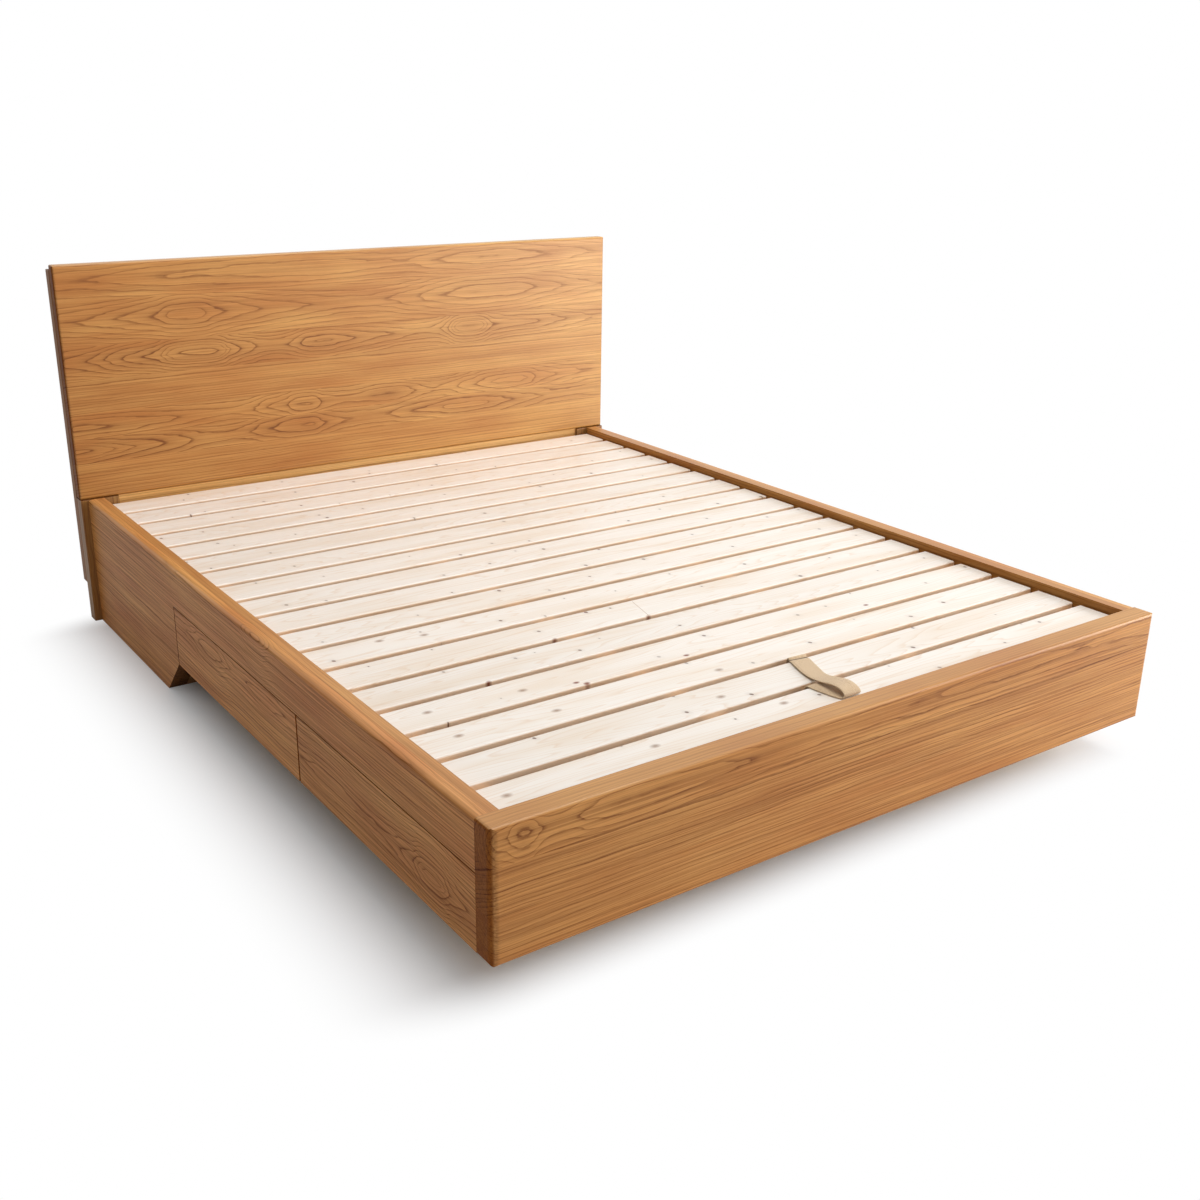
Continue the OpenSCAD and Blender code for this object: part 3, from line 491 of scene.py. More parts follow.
    # Colour: cream with warm patches, a little other in each slat
    wide = put(tree, "ShaderNodeMath", {0: x, 1: 2.4}, operation="MULTIPLY").outputs[0]
    wide = put(tree, "ShaderNodeMath", {0: wide, 1: apart_z}, operation="ADD").outputs[0]
    tall = put(tree, "ShaderNodeMath", {0: y, 1: 20.0}, operation="MULTIPLY").outputs[0]
    place = put(tree, "ShaderNodeCombineXYZ", {0: wide, 1: tall}).outputs[0]
    patch = put(tree, "ShaderNodeTexNoise", {"Vector": place, "Scale": 1.0, "Detail": 2.0}).outputs[0]
    patch = put(tree, "ShaderNodeMapRange", {"Value": patch, "From Min": 0.45, "From Max": 0.75}).outputs[0]
    base = put(
        tree, "ShaderNodeMix", {0: patch, 6: linear("#F4EDE4"), 7: linear("#ECDECD")}, data_type="RGBA"
    ).outputs[2]
    grain = put(tree, "ShaderNodeMath", {0: grain.outputs[0], 1: 0.30}, operation="MULTIPLY").outputs[0]
    base = put(tree, "ShaderNodeMix", {0: grain, 6: base, 7: linear("#D2A877")}, data_type="RGBA").outputs[2]
    base = put(tree, "ShaderNodeMix", {0: knot, 6: base, 7: linear("#62391D")}, data_type="RGBA").outputs[2]

    # The marks at their places: each with its colour, the radii in millimetres between which it fades, and
    # its strength
    for spots, colour, inner, outer, share in (
        (EDGE_KNOTS, "#7C3B1B", 2.5, 7.0, 0.95), (BRANCH_KNOTS, "#8A6142", 2.0, 10.0, 0.75)
    ):
        for spot in spots:
            middle = (spot[0] * MM, spot[1] * MM, 0)
            apart = put(
                tree, "ShaderNodeVectorMath", {0: surface.outputs["Object"], 1: middle}, operation="SUBTRACT"
            ).outputs[0]
            apart = put(
                tree, "ShaderNodeVectorMath", {0: apart, 1: (0.8, 1.2, 0.0)}, operation="MULTIPLY"
            ).outputs[0]
            apart = put(tree, "ShaderNodeVectorMath", {0: apart}, operation="LENGTH").outputs["Value"]
            burr = put(tree, "ShaderNodeMapRange", {
                "Value": apart, "From Min": inner * MM, "From Max": outer * MM, "To Min": share, "To Max": 0.0
            }).outputs[0]
            base = put(
                tree, "ShaderNodeMix", {0: burr, 6: base, 7: linear(colour)}, data_type="RGBA"
            ).outputs[2]

    # Finger joint: a thin line over one slat
    from_x = put(tree, "ShaderNodeMath", {0: x, 1: JOINT_START[0] * MM}, operation="SUBTRACT").outputs[0]
    from_y = put(tree, "ShaderNodeMath", {0: y, 1: JOINT_START[1] * MM}, operation="SUBTRACT").outputs[0]
    ahead, side = (
        put(tree, "ShaderNodeMath", {
            0: from_x, 1: turn[0],
            2: put(tree, "ShaderNodeMath", {0: from_y, 1: turn[1]}, operation="MULTIPLY").outputs[0],
        }, operation="MULTIPLY_ADD").outputs[0]
        for turn in (JOINT_RUN, (-JOINT_RUN[1], JOINT_RUN[0]))
    )
    beyond = put(
        tree, "ShaderNodeMath", {0: ahead, 1: JOINT_LENGTH / 2 * MM}, operation="SUBTRACT"
    ).outputs[0]
    beyond = put(tree, "ShaderNodeMath", {0: beyond}, operation="ABSOLUTE").outputs[0]
    within = put(
        tree, "ShaderNodeMath", {0: beyond, 1: JOINT_LENGTH / 2 * MM}, operation="LESS_THAN"
    ).outputs[0]
    side = put(tree, "ShaderNodeMath", {0: side}, operation="ABSOLUTE").outputs[0]
    side = put(
        tree, "ShaderNodeMapRange",
        {"Value": side, "From Min": 0.4 * MM, "From Max": 1.4 * MM, "To Min": 0.6, "To Max": 0.0}
    ).outputs[0]
    glued = put(tree, "ShaderNodeMath", {0: side, 1: within}, operation="MULTIPLY").outputs[0]
    base = put(tree, "ShaderNodeMix", {0: glued, 6: base, 7: linear("#A98566")}, data_type="RGBA").outputs[2]
    tone = put(
        tree, "ShaderNodeMapRange", {"Value": luck.outputs["Value"], "To Min": 0.96, "To Max": 1.0}
    ).outputs[0]
    base = put(tree, "ShaderNodeHueSaturation", {"Value": tone, "Color": base}).outputs[0]
    # Side faces, those facing neither up nor down, are tinted warmer and a little darker
    facing = put(tree, "ShaderNodeSeparateXYZ", {0: surface.outputs["Normal"]}).outputs[2]
    facing = put(tree, "ShaderNodeMath", {0: facing}, operation="ABSOLUTE").outputs[0]
    side_face = put(
        tree, "ShaderNodeMapRange",
        {"Value": facing, "From Min": 0.25, "From Max": 0.75, "To Min": 1.0, "To Max": 0.0},
        interpolation_type="SMOOTHSTEP"
    ).outputs[0]
    base = put(
        tree, "ShaderNodeMix", {0: side_face, 6: base, 7: linear("#FFE8D0")}, data_type="RGBA",
        blend_type="MULTIPLY"
    ).outputs[2]
    tree.links.new(base, shader.inputs["Base Color"])

    # Fibres about 1 mm apart give the planed face a faint nap
    run = put(tree, "ShaderNodeMath", {0: x, 1: 14.0}, operation="MULTIPLY").outputs[0]
    fine = put(tree, "ShaderNodeMath", {0: y, 1: 900.0}, operation="MULTIPLY").outputs[0]
    thick = put(tree, "ShaderNodeMath", {0: z, 1: 900.0}, operation="MULTIPLY").outputs[0]
    place = put(tree, "ShaderNodeCombineXYZ", {0: run, 1: fine, 2: thick}).outputs[0]
    fibre = put(tree, "ShaderNodeTexNoise", {"Vector": place, "Scale": 1.0, "Detail": 2.0}).outputs[0]
    fibre = put(tree, "ShaderNodeMath", {0: fibre, 1: knot}, operation="SUBTRACT").outputs[0]
    relief = put(tree, "ShaderNodeBump", {"Height": fibre, "Strength": 0.2, "Distance": 0.25 * MM}).outputs[0]
    tree.links.new(relief, shader.inputs["Normal"])
    rough = put(tree, "ShaderNodeMapRange", {"Value": grain, "To Min": 0.44, "To Max": 0.60}).outputs[0]
    tree.links.new(rough, shader.inputs["Roughness"])
    shader.inputs["IOR"].default_value = 1.5
    return material


def birch_plywood():
    """Sanded birch plywood: wavy figure of rotary-cut veneer, and stripes of 1.5 mm plies on its edges."""
    material, tree, shader = blank_material("sanded_birch_plywood")
    surface = put(tree, "ShaderNodeTexCoord")
    x, y, z = put(tree, "ShaderNodeSeparateXYZ", {0: surface.outputs["Object"]}).outputs
    slow = put(tree, "ShaderNodeMath", {0: y, 1: 2.0}, operation="MULTIPLY").outputs[0]
    across = put(tree, "ShaderNodeMath", {0: x, 1: 14.0}, operation="MULTIPLY").outputs[0]
    place = put(tree, "ShaderNodeCombineXYZ", {0: across, 1: slow, 2: z}).outputs[0]
    figure = put(tree, "ShaderNodeTexNoise", {"Vector": place, "Scale": 1.0, "Detail": 2.0}).outputs[0]
    figure = put(tree, "ShaderNodeMath", {0: figure, 1: 14.0}, operation="MULTIPLY").outputs[0]
    figure = put(tree, "ShaderNodeMath", {0: figure}, operation="FRACT").outputs[0]
    veneer = put(tree, "ShaderNodeValToRGB", {0: figure})
    shape_ramp(veneer, [(0.0, "#E3C99C"), (0.75, "#DDBF8E"), (0.95, "#C9A268"), (1.0, "#E3C99C")])
    ply = put(tree, "ShaderNodeMath", {0: z, 1: 1.5 * MM}, operation="DIVIDE").outputs[0]
    ply = put(tree, "ShaderNodeMath", {0: ply, 1: 2.0}, operation="MODULO").outputs[0]
    ply = put(tree, "ShaderNodeMath", {0: ply, 1: 1.0}, operation="GREATER_THAN").outputs[0]
    edge = put(
        tree, "ShaderNodeMix", {0: ply, 6: linear("#D9B98A"), 7: linear("#A67C4A")}, data_type="RGBA"
    ).outputs[2]
    facing = put(tree, "ShaderNodeSeparateXYZ", {0: surface.outputs["Normal"]}).outputs[2]
    facing = put(tree, "ShaderNodeMath", {0: facing}, operation="ABSOLUTE").outputs[0]
    flat = put(tree, "ShaderNodeMath", {0: facing, 1: 0.5}, operation="GREATER_THAN").outputs[0]
    colour = put(tree, "ShaderNodeMix", {0: flat, 6: edge, 7: veneer.outputs[0]}, data_type="RGBA").outputs[2]
    tree.links.new(colour, shader.inputs["Base Color"])
    fine = put(
        tree, "ShaderNodeVectorMath", {0: surface.outputs["Object"], 1: (900, 60, 900)}, operation="MULTIPLY"
    )
    fuzz = put(
        tree, "ShaderNodeTexNoise", {"Vector": fine.outputs[0], "Scale": 1.0, "Detail": 2.0}
    ).outputs[0]
    relief = put(tree, "ShaderNodeBump", {"Height": fuzz, "Strength": 0.15, "Distance": 0.2 * MM}).outputs[0]
    tree.links.new(relief, shader.inputs["Normal"])
    shader.inputs["Roughness"].default_value = 0.6
    return material


def zinc_plated_steel():
    """Zinc-plated steel: cool grey metal with cloudy patches from the bath."""
    material, tree, shader = blank_material("zinc_plated_steel")
    surface = put(tree, "ShaderNodeTexCoord")
    bath = put(
        tree, "ShaderNodeTexNoise", {"Vector": surface.outputs["Object"], "Scale": 90.0, "Detail": 4.0}
    )
    tint = put(tree, "ShaderNodeValToRGB", {0: bath.outputs[0]})
    shape_ramp(tint, [(0.3, "#AEB3B8"), (0.5, "#C3C7CA"), (0.7, "#B9B8AE")])
    tree.links.new(tint.outputs[0], shader.inputs["Base Color"])
    rough = put(
        tree, "ShaderNodeMapRange", {"Value": bath.outputs[0], "To Min": 0.28, "To Max": 0.46}
    ).outputs[0]
    tree.links.new(rough, shader.inputs["Roughness"])
    shader.inputs["Metallic"].default_value = 1.0
    return material


def black_powder_coat():
    """Black powder coat on steel: satin, with the ripple of melted powder, about 1 mm from crest to crest."""
    material, tree, shader = blank_material("black_powder_coat")
    surface = put(tree, "ShaderNodeTexCoord")
    ripple = put(
        tree, "ShaderNodeTexNoise", {"Vector": surface.outputs["Object"], "Scale": 1000.0, "Detail": 1.0}
    )
    tint = put(tree, "ShaderNodeValToRGB", {0: ripple.outputs[0]})
    shape_ramp(tint, [(0.3, "#232427"), (0.7, "#2E2F33")])
    tree.links.new(tint.outputs[0], shader.inputs["Base Color"])
    relief = put(
        tree, "ShaderNodeBump", {"Height": ripple.outputs[0], "Strength": 0.3, "Distance": 0.1 * MM}
    ).outputs[0]
    tree.links.new(relief, shader.inputs["Normal"])
    rough = put(
        tree, "ShaderNodeMapRange", {"Value": ripple.outputs[0], "To Min": 0.38, "To Max": 0.5}
    ).outputs[0]
    tree.links.new(rough, shader.inputs["Roughness"])
    return material


def polished_steel_rod():
    """Hard-chromed strut rod: bright, with faint rings from the grinding."""
    material, tree, shader = blank_material("polished_steel_rod")
    surface = put(tree, "ShaderNodeTexCoord")
    ground = put(
        tree, "ShaderNodeVectorMath", {0: surface.outputs["Object"], 1: (200, 2500, 2500)},
        operation="MULTIPLY"
    )
    ground = put(
        tree, "ShaderNodeTexNoise", {"Vector": ground.outputs[0], "Scale": 1.0, "Detail": 2.0}
    ).outputs[0]
    tint = put(tree, "ShaderNodeValToRGB", {0: ground})
    shape_ramp(tint, [(0.3, "#D3D6D8"), (0.7, "#E2E4E6")])
    tree.links.new(tint.outputs[0], shader.inputs["Base Color"])
    rough = put(tree, "ShaderNodeMapRange", {"Value": ground, "To Min": 0.10, "To Max": 0.20}).outputs[0]
    tree.links.new(rough, shader.inputs["Roughness"])
    shader.inputs["Metallic"].default_value = 1.0
    return material


# Where the band is creased behind the second slat and a line of painted shade lies in the crease, in
# millimetres along it from its first row, and the widths of its ribs and of its picks
CREASE_SHADE_AT = 30.5
RIB = 1.5
PICK = 1.3


def cotton_webbing():
    """Undyed cotton webbing, woven in ribs along the band: dull khaki, matt, with a line of painted shade in
    its sharp crease.
    """
    material, tree, shader = blank_material("woven_cotton_webbing")
    surface = put(tree, "ShaderNodeTexCoord")
    across, length, _ = put(tree, "ShaderNodeSeparateXYZ", {0: surface.outputs["UV"]}).outputs
    ribs = put(
        tree, "ShaderNodeMath", {0: across, 1: 2 * math.pi / (RIB * MM)}, operation="MULTIPLY"
    ).outputs[0]
    picks = put(
        tree, "ShaderNodeMath", {0: length, 1: 2 * math.pi / (PICK * MM)}, operation="MULTIPLY"
    ).outputs[0]
    turned = put(tree, "ShaderNodeMath", {0: ribs, 1: 0.5}, operation="MULTIPLY").outputs[0]
    turned = put(tree, "ShaderNodeMath", {0: turned, 1: picks}, operation="ADD").outputs[0]
    ribs = put(tree, "ShaderNodeMath", {0: ribs}, operation="COSINE").outputs[0]
    picks = put(tree, "ShaderNodeMath", {0: turned}, operation="COSINE").outputs[0]
    picks = put(tree, "ShaderNodeMath", {0: picks, 1: 0.6}, operation="MULTIPLY").outputs[0]
    weave = put(tree, "ShaderNodeMath", {0: ribs, 1: picks}, operation="ADD").outputs[0]
    shade = put(tree, "ShaderNodeMapRange", {"Value": weave, "From Min": -1.6, "From Max": 1.6}).outputs[0]
    yarn = put(
        tree, "ShaderNodeTexNoise", {"Vector": surface.outputs["UV"], "Scale": 260.0, "Detail": 3.0}
    ).outputs[0]
    shade = put(tree, "ShaderNodeMath", {0: shade, 1: yarn}, operation="ADD").outputs[0]
    colour = put(tree, "ShaderNodeValToRGB", {0: shade})
    shape_ramp(colour, [(0.35, "#A3835E"), (0.8, "#CAAB85"), (1.2, "#DABF9B")])
    # Painted shade: a dark line across the band in its crease
    crease = put(tree, "ShaderNodeMath", {0: length, 1: CREASE_SHADE_AT * MM}, operation="SUBTRACT").outputs[0]
    crease = put(tree, "ShaderNodeMath", {0: crease}, operation="ABSOLUTE").outputs[0]
    crease = put(
        tree, "ShaderNodeMapRange",
        {"Value": crease, "From Min": 1.2 * MM, "From Max": 2.6 * MM, "To Min": 0.9, "To Max": 0.0}
    ).outputs[0]
    colour = put(
        tree, "ShaderNodeMix", {0: crease, 6: colour.outputs[0], 7: linear("#4A3620")}, data_type="RGBA"
    ).outputs[2]
    tree.links.new(colour, shader.inputs["Base Color"])
    relief = put(tree, "ShaderNodeBump", {"Height": weave, "Strength": 0.5, "Distance": 0.2 * MM}).outputs[0]
    tree.links.new(relief, shader.inputs["Normal"])
    shader.inputs["Roughness"].default_value = 0.9
    shader.inputs["Sheen Weight"].default_value = 0.25
    shader.inputs["Sheen Roughness"].default_value = 0.5
    return material


# Pull strap. Each row gives the band's left and right edge in millimetres, as x, y and the height above the
# slats. It comes up behind the second slat, creases, lies forward over it, bows over the first slat to the
# footboard, turns back under itself, goes down behind the first slat and runs under the second.

STRAP_ROWS = [
    ((14, -790, -14), (58, -790, -14)),
    ((14, -791, -4), (58, -791, -4)),
    ((14, -793, 4), (57, -794, 4)),
    ((14, -796, 6), (56, -800, 6)),
    ((13, -799, 2), (55, -806, 2)),
    ((10, -808, 3), (53, -815, 3)),
    ((1, -831, 4), (45, -836, 3)),
    ((-8, -859, 4), (37, -858, 3)),
    ((-14, -888, 5), (29, -879, 3)),
    ((-18, -917, 9), (23, -900, 6)),
    ((-19, -942, 14), (22, -925, 11)),
    ((-20, -961, 16), (23, -949, 15)),
    ((-22, -977, 14), (22, -971, 13)),
    ((-24, -986, 8), (20, -984, 7)),
    ((-27, -984, 3), (17, -983, 3)),
    ((-32, -972, 2), (12, -972, 2)),
    ((-37, -948, 2), (7, -945, 2)),
    ((-41, -922, 2), (3, -920, 2)),
    ((-42, -906, 1), (2, -906, 1)),
    ((-42, -902, -6), (2, -902, -6)),
    ((-41, -900, -13), (3, -900, -13)),
    ((-38, -893, -20), (6, -893, -20)),
    ((-20, -865, -20.5), (24, -865, -20.5)),
    ((0, -830, -20.5), (44, -830, -20.5)),
    ((12, -799, -20), (56, -799, -20)),
]
# Points across the band, steps from one row to the next, thickness in millimetres, a row where the band lies
# flat and shows its width, and how near to each other two points count as one, in metres
STRAP_COLUMNS = 7
STRAP_STEPS = 5
STRAP_THICKNESS = 2
STRAP_FLAT_ROW = 6
SAME_SPOT = 1e-6
SLAT_TOP = face_of("slats_group_1", "Z", 1)


def strap_spot(row, share):
    """Point of the closed band at a row number, also between two rows, on a smooth curve through the rows.

    share goes from 0 at the band's left edge to 1 at its right one.
    """
    k = math.floor(row)
    t = row - k
    edges = [STRAP_ROWS[(k + n) % len(STRAP_ROWS)] for n in (-1, 0, 1, 2)]
    p0, p1, p2, p3 = (Vector(left).lerp(Vector(right), share) for left, right in edges)
    curved = 0.5 * (
        2 * p1 + (p2 - p0) * t
        + (2 * p0 - 5 * p1 + 4 * p2 - p3) * t * t
        + (3 * p1 - p0 - 3 * p2 + p3) * t * t * t
    )
    return Vector((curved.x, curved.y, curved.z + SLAT_TOP)) * MM


def model_pull_strap():
    """Closed band of webbing: a grid's far edge is extruded round the path, and its ends are bridged."""
    count = len(STRAP_ROWS) * STRAP_STEPS
    shares = [k / (STRAP_COLUMNS - 1) for k in range(STRAP_COLUMNS)]
    bpy.ops.object.select_all(action="DESELECT")
    columns = STRAP_COLUMNS - 1
    bpy.ops.mesh.primitive_grid_add(x_subdivisions=columns, y_subdivisions=1, size=1, calc_uvs=False)
    strap = bpy.context.object
    strap.name = "pull_strap_webbing"
    strap.data.name = "pull_strap_webbing"
    bpy.ops.object.mode_set(mode="EDIT")
    bpy.ops.mesh.select_mode(type="VERT")
    mesh = bmesh.from_edit_mesh(strap.data)
    near = sorted((v for v in mesh.verts if v.co.y < 0), key=lambda v: v.co.x)
    far = sorted((v for v in mesh.verts if v.co.y > 0), key=lambda v: v.co.x)
    for k, share in enumerate(shares):
        near[k].co = strap_spot(0, share)
        far[k].co = strap_spot(1 / STRAP_STEPS, share)
    for row in range(2, count):
        mesh = bmesh.from_edit_mesh(strap.data)
        before = [strap_spot((row - 1) / STRAP_STEPS, share) for share in shares]
        for v in mesh.verts:
            v.select = any((v.co - p).length < SAME_SPOT for p in before)
        mesh.select_flush_mode()
        bpy.ops.mesh.extrude_edges_move()
        mesh = bmesh.from_edit_mesh(strap.data)
        for v in mesh.verts:
            if v.select:
                k = min(range(STRAP_COLUMNS), key=lambda n: (v.co - before[n]).length)
                v.co = strap_spot(row / STRAP_STEPS, shares[k])
    mesh = bmesh.from_edit_mesh(strap.data)
    ends = [strap_spot(row / STRAP_STEPS, share) for row in (0, count - 1) for share in shares]
    for v in mesh.verts:
        v.select = any((v.co - p).length < SAME_SPOT for p in ends)
    mesh.select_flush_mode()
    bpy.ops.mesh.bridge_edge_loops()
    bpy.ops.mesh.select_all(action="SELECT")
    bpy.ops.mesh.normals_make_consistent(inside=False)
    # Extruding gives another order in each run, so all are sorted by their distance from the origin
    bpy.ops.mesh.sort_elements(type="CURSOR_DISTANCE", elements={"VERT", "EDGE", "FACE"})
    bpy.ops.object.mode_set(mode="OBJECT")
    lay_webbing_map(strap.data, count, shares)
    wall = strap.modifiers.new("thickness", "SOLIDIFY")
    wall.thickness = STRAP_THICKNESS * MM
    wall.offset = 0
    soft = strap.modifiers.new("soft_edges", "BEVEL")
    soft.width = 0.6 * MM
    soft.segments = 2
    soft.angle_limit = math.radians(50)
    for name in ("thickness", "soft_edges"):
        bpy.ops.object.modifier_apply(modifier=name)
    bpy.ops.object.shade_smooth_by_angle(angle=math.radians(50))
    return strap


def lay_webbing_map(mesh, count, shares):
    """Map in metres: across the band, and along it from the first row."""
    middle = [strap_spot(row / STRAP_STEPS, 0.5) for row in range(count + 1)]
    reach = [0.0]
    for a, b in zip(middle, middle[1:]):
        reach.append(reach[-1] + (b - a).length)
    where = {}
    for row in range(count):
        for k, share in enumerate(shares):
            spot = strap_spot(row / STRAP_STEPS, share)
            where[tuple(round(c, 6) for c in spot)] = (row, k)
    width = (strap_spot(STRAP_FLAT_ROW, 1) - strap_spot(STRAP_FLAT_ROW, 0)).length
    web = mesh.uv_layers.new(name="webbing")
    for face in mesh.polygons:
        spots = [where[tuple(round(c, 6) for c in mesh.vertices[i].co)] for i in face.vertices]
        closing = {0, count - 1} <= {row for row, _ in spots}
        for loop, (row, k) in zip(face.loop_indices, spots):
            row = count if closing and row == 0 else row
            web.data[loop].uv = (shares[k] * width, reach[row])


# Studio

# The floor's fade to white: half the size of the place that it leaves alone and the width over which it
# comes, in metres across and along the bed
FADE_FROM = (0.72, 0.92)
FADE_OVER = (0.34, 0.16)
# Lamps: name, place, aim, size and power, in metres and watts, and colour
LAMPS = (
    ("window_right", (3.8, -2.7, 1.35), (0.1, 0.1, 0.4), 2.5, 192, (0.98, 0.985, 1.0)),
    ("overhead", (0.6, -0.2, 4.2), (0.0, 0.0, 0.3), 3.0, 95, (1.0, 0.995, 0.985)),
)


def studio_floor():
    """Pale matt floor. The camera sees it fade to white away from the bed, and it keeps the bed's shadow."""
    bpy.ops.object.select_all(action="DESELECT")
    bpy.ops.mesh.primitive_plane_add(size=24, location=(0, 0, -0.0005))
    floor = bpy.context.object
    floor.name = "studio_floor"
    bpy.ops.object.transform_apply(location=True, rotation=True, scale=True)
    material, tree, shader = blank_material("matt_white_floor")
    surface = put(tree, "ShaderNodeTexCoord")
    shader.inputs["Base Color"].default_value = linear("#F2F3F5")
    shader.inputs["Roughness"].default_value = 0.9
    shader.inputs["Specular IOR Level"].default_value = 0.1
    apart = put(tree, "ShaderNodeVectorMath", {0: surface.outputs["Object"]}, operation="ABSOLUTE").outputs[0]
    apart = put(
        tree, "ShaderNodeVectorMath", {0: apart, 1: (*FADE_FROM, 1.0)}, operation="SUBTRACT"
    ).outputs[0]
    apart = put(tree, "ShaderNodeVectorMath", {0: apart, 1: (0.0, 0.0, 0.0)}, operation="MAXIMUM").outputs[0]
    steep = (1 / FADE_OVER[0], 1 / FADE_OVER[1], 0.0)
    apart = put(tree, "ShaderNodeVectorMath", {0: apart, 1: steep}, operation="MULTIPLY").outputs[0]
    away = put(tree, "ShaderNodeVectorMath", {0: apart}, operation="LENGTH").outputs["Value"]
    fade = put(tree, "ShaderNodeMapRange", {"Value": away}, interpolation_type="SMOOTHSTEP").outputs[0]
    rays = put(tree, "ShaderNodeLightPath")
    seen = put(
        tree, "ShaderNodeMath", {0: rays.outputs["Is Camera Ray"], 1: fade}, operation="MULTIPLY"
    ).outputs[0]
    white = put(tree, "ShaderNodeEmission", {"Color": (1, 1, 1, 1), "Strength": 1.0})
    mixed = put(tree, "ShaderNodeMixShader", {0: seen, 1: shader.outputs[0], 2: white.outputs[0]})
    tree.links.new(mixed.outputs[0], tree.nodes["Material Output"].inputs["Surface"])
    floor.data.materials.append(material)


def light_studio():
    """Soft light from above and the front right. The surround is brightest overhead and dim on the left."""
    world = bpy.data.worlds.new("white_surround")
    scene.world = world
    world.use_nodes = True
    tree = world.node_tree
    tree.nodes.clear()
    rays = put(tree, "ShaderNodeLightPath")
    bright = put(
        tree, "ShaderNodeMath", {0: rays.outputs["Is Camera Ray"], 1: rays.outputs["Is Glossy Ray"]},
        operation="MAXIMUM"
    ).outputs[0]
    bright = put(
        tree, "ShaderNodeMath", {0: bright, 1: rays.outputs["Is Transmission Ray"]}, operation="MAXIMUM"
    ).outputs[0]
    way = put(tree, "ShaderNodeTexCoord").outputs["Generated"]
    rise = put(
        tree, "ShaderNodeVectorMath", {0: way, 1: (0.35, -0.15, 0.92)}, operation="DOT_PRODUCT"
    ).outputs["Value"]
    soft = put(
        tree, "ShaderNodeMapRange",
        {"Value": rise, "From Min": -0.2, "From Max": 1.0, "To Min": 0.08, "To Max": 0.56}
    ).outputs[0]
    level = put(tree, "ShaderNodeMix", {0: bright, 2: soft, 3: 1.0}).outputs[0]
    sky = put(tree, "ShaderNodeBackground", {"Color": (1, 1, 1, 1), "Strength": level})
    put(tree, "ShaderNodeOutputWorld", {"Surface": sky.outputs[0]})
    for name, place, aim, size, power, colour in LAMPS:
        lamp = bpy.data.lights.new(name, "AREA")
        lamp.shape = "SQUARE"
        lamp.size = size
        lamp.energy = power
        lamp.color = colour
        source = bpy.data.objects.new(name, lamp)
        source.location = place
        source.rotation_euler = (Vector(aim) - Vector(place)).to_track_quat("-Z", "Y").to_euler()
        scene.collection.objects.link(source)


# Finishes of the pieces, board by board where the photograph shows the boards

# Tones of the sloped board and of the head legs, darkened as painted shade since both stand in shade, the
# thickness of the side rails' outer board in millimetres, and how many slats are in one node
SHADE_TONE = 0.55
LEG_SHADE_TONE = 0.58
RAIL_OUTER = 22
SLATS_IN_GROUP = 3


def dress(names, material):
    """Same material on every slot of these nodes."""
    for name in names:
        for slot in nodes[name].material_slots:
            slot.material = material


def dress_headboard():
    """Panel of glued boards with arches and ovals, and calm straight grain in the middle and at the bottom.

    The photograph gives each pith's height and where its rings close.
    """
    boards = [
        (336, 150, [(-830, 60), (0, 50), (830, 60)], 0.98, 0.7, 7.5),
        (430, 461, [
            (-830, 12), (-760, 20), (-640, 34), (-560, 42), (-440, 52), (-302, 38), (-180, 30), (-141, 38),
            (0, 48), (130, 40), (217, 34), (300, 28), (555, 42), (700, 50), (830, 46)
        ], 0.98, 1.0, 7.5),
        (494, 524, [
            (-830, 44), (-620, 50), (-420, 58), (-300, 46), (-247, 38), (-190, 28), (-135, 38), (-60, 42),
            (60, 36), (150, 44), (217, 50), (330, 40), (500, 26), (600, 40), (830, 56)
        ], 1.0, 0.95, 7),
        (560, 380, [(-830, 60), (0, 52), (830, 60)], 1.0, 0.7, 6.5),
        (648, 694, [
            (-830, 62), (-700, 48), (-600, 36), (-475, 14), (-400, 30), (-340, 42), (-280, 48), (-160, 32),
            (-115, 30), (-80, 34), (60, 44), (200, 50), (300, 22), (345, 16), (430, 36), (600, 44), (830, 56)
        ], 0.99, 1.0, 7),
        (732, 795, [
            (-830, 62), (-697, 54), (-585, 42), (-508, 30), (-430, 42), (-313, 54), (-190, 62), (0, 68),
            (150, 58), (255, 46), (430, 36), (610, 46), (740, 58), (830, 62)
        ], 1.01, 0.8, 8.5),
        (845, 895, [
            (-830, 64), (-590, 55), (-350, 48), (-150, 46), (40, 50), (150, 52), (230, 46), (435, 36),
            (640, 45), (830, 56)
        ], 1.02, 0.72, 8.5),
    ]
    face = face_of("headboard_panel", "Y", 0)
    dress(
        ["headboard_panel"], timber("oiled_elm_headboard", HEAD_ELM, "X", "Z", "Y", face, boards, painted_light_per_metre=0.35)
    )


def dress_footboard():
    """Three glued boards: a figured one on top, strong straight rings in the middle, a calm one below."""
    boards = [
        (96, 420, [(-816, 60), (-300, 72), (200, 64), (816, 72)], 0.97, 0.75, 6),
        (183, -20, [(-816, 46), (-500, 62), (0, 50), (400, 66), (816, 50)], 0.96, 1.0, 7.2),
        (268, 314, [
            (-816, 52), (-782, 46), (-758, 37), (-734, 46), (-690, 52), (-640, 46), (-560, 42), (-420, 46),
            (-180, 54), (120, 50), (360, 45), (600, 50), (816, 46)
        ], 0.98, 0.85, 8),
    ]
    face = face_of("footboard", "Y", 0)
    dress(["footboard"], timber("oiled_elm_footboard", FOOT_ELM, "X", "Z", "Y", face, boards, painted_light_per_metre=0.10))


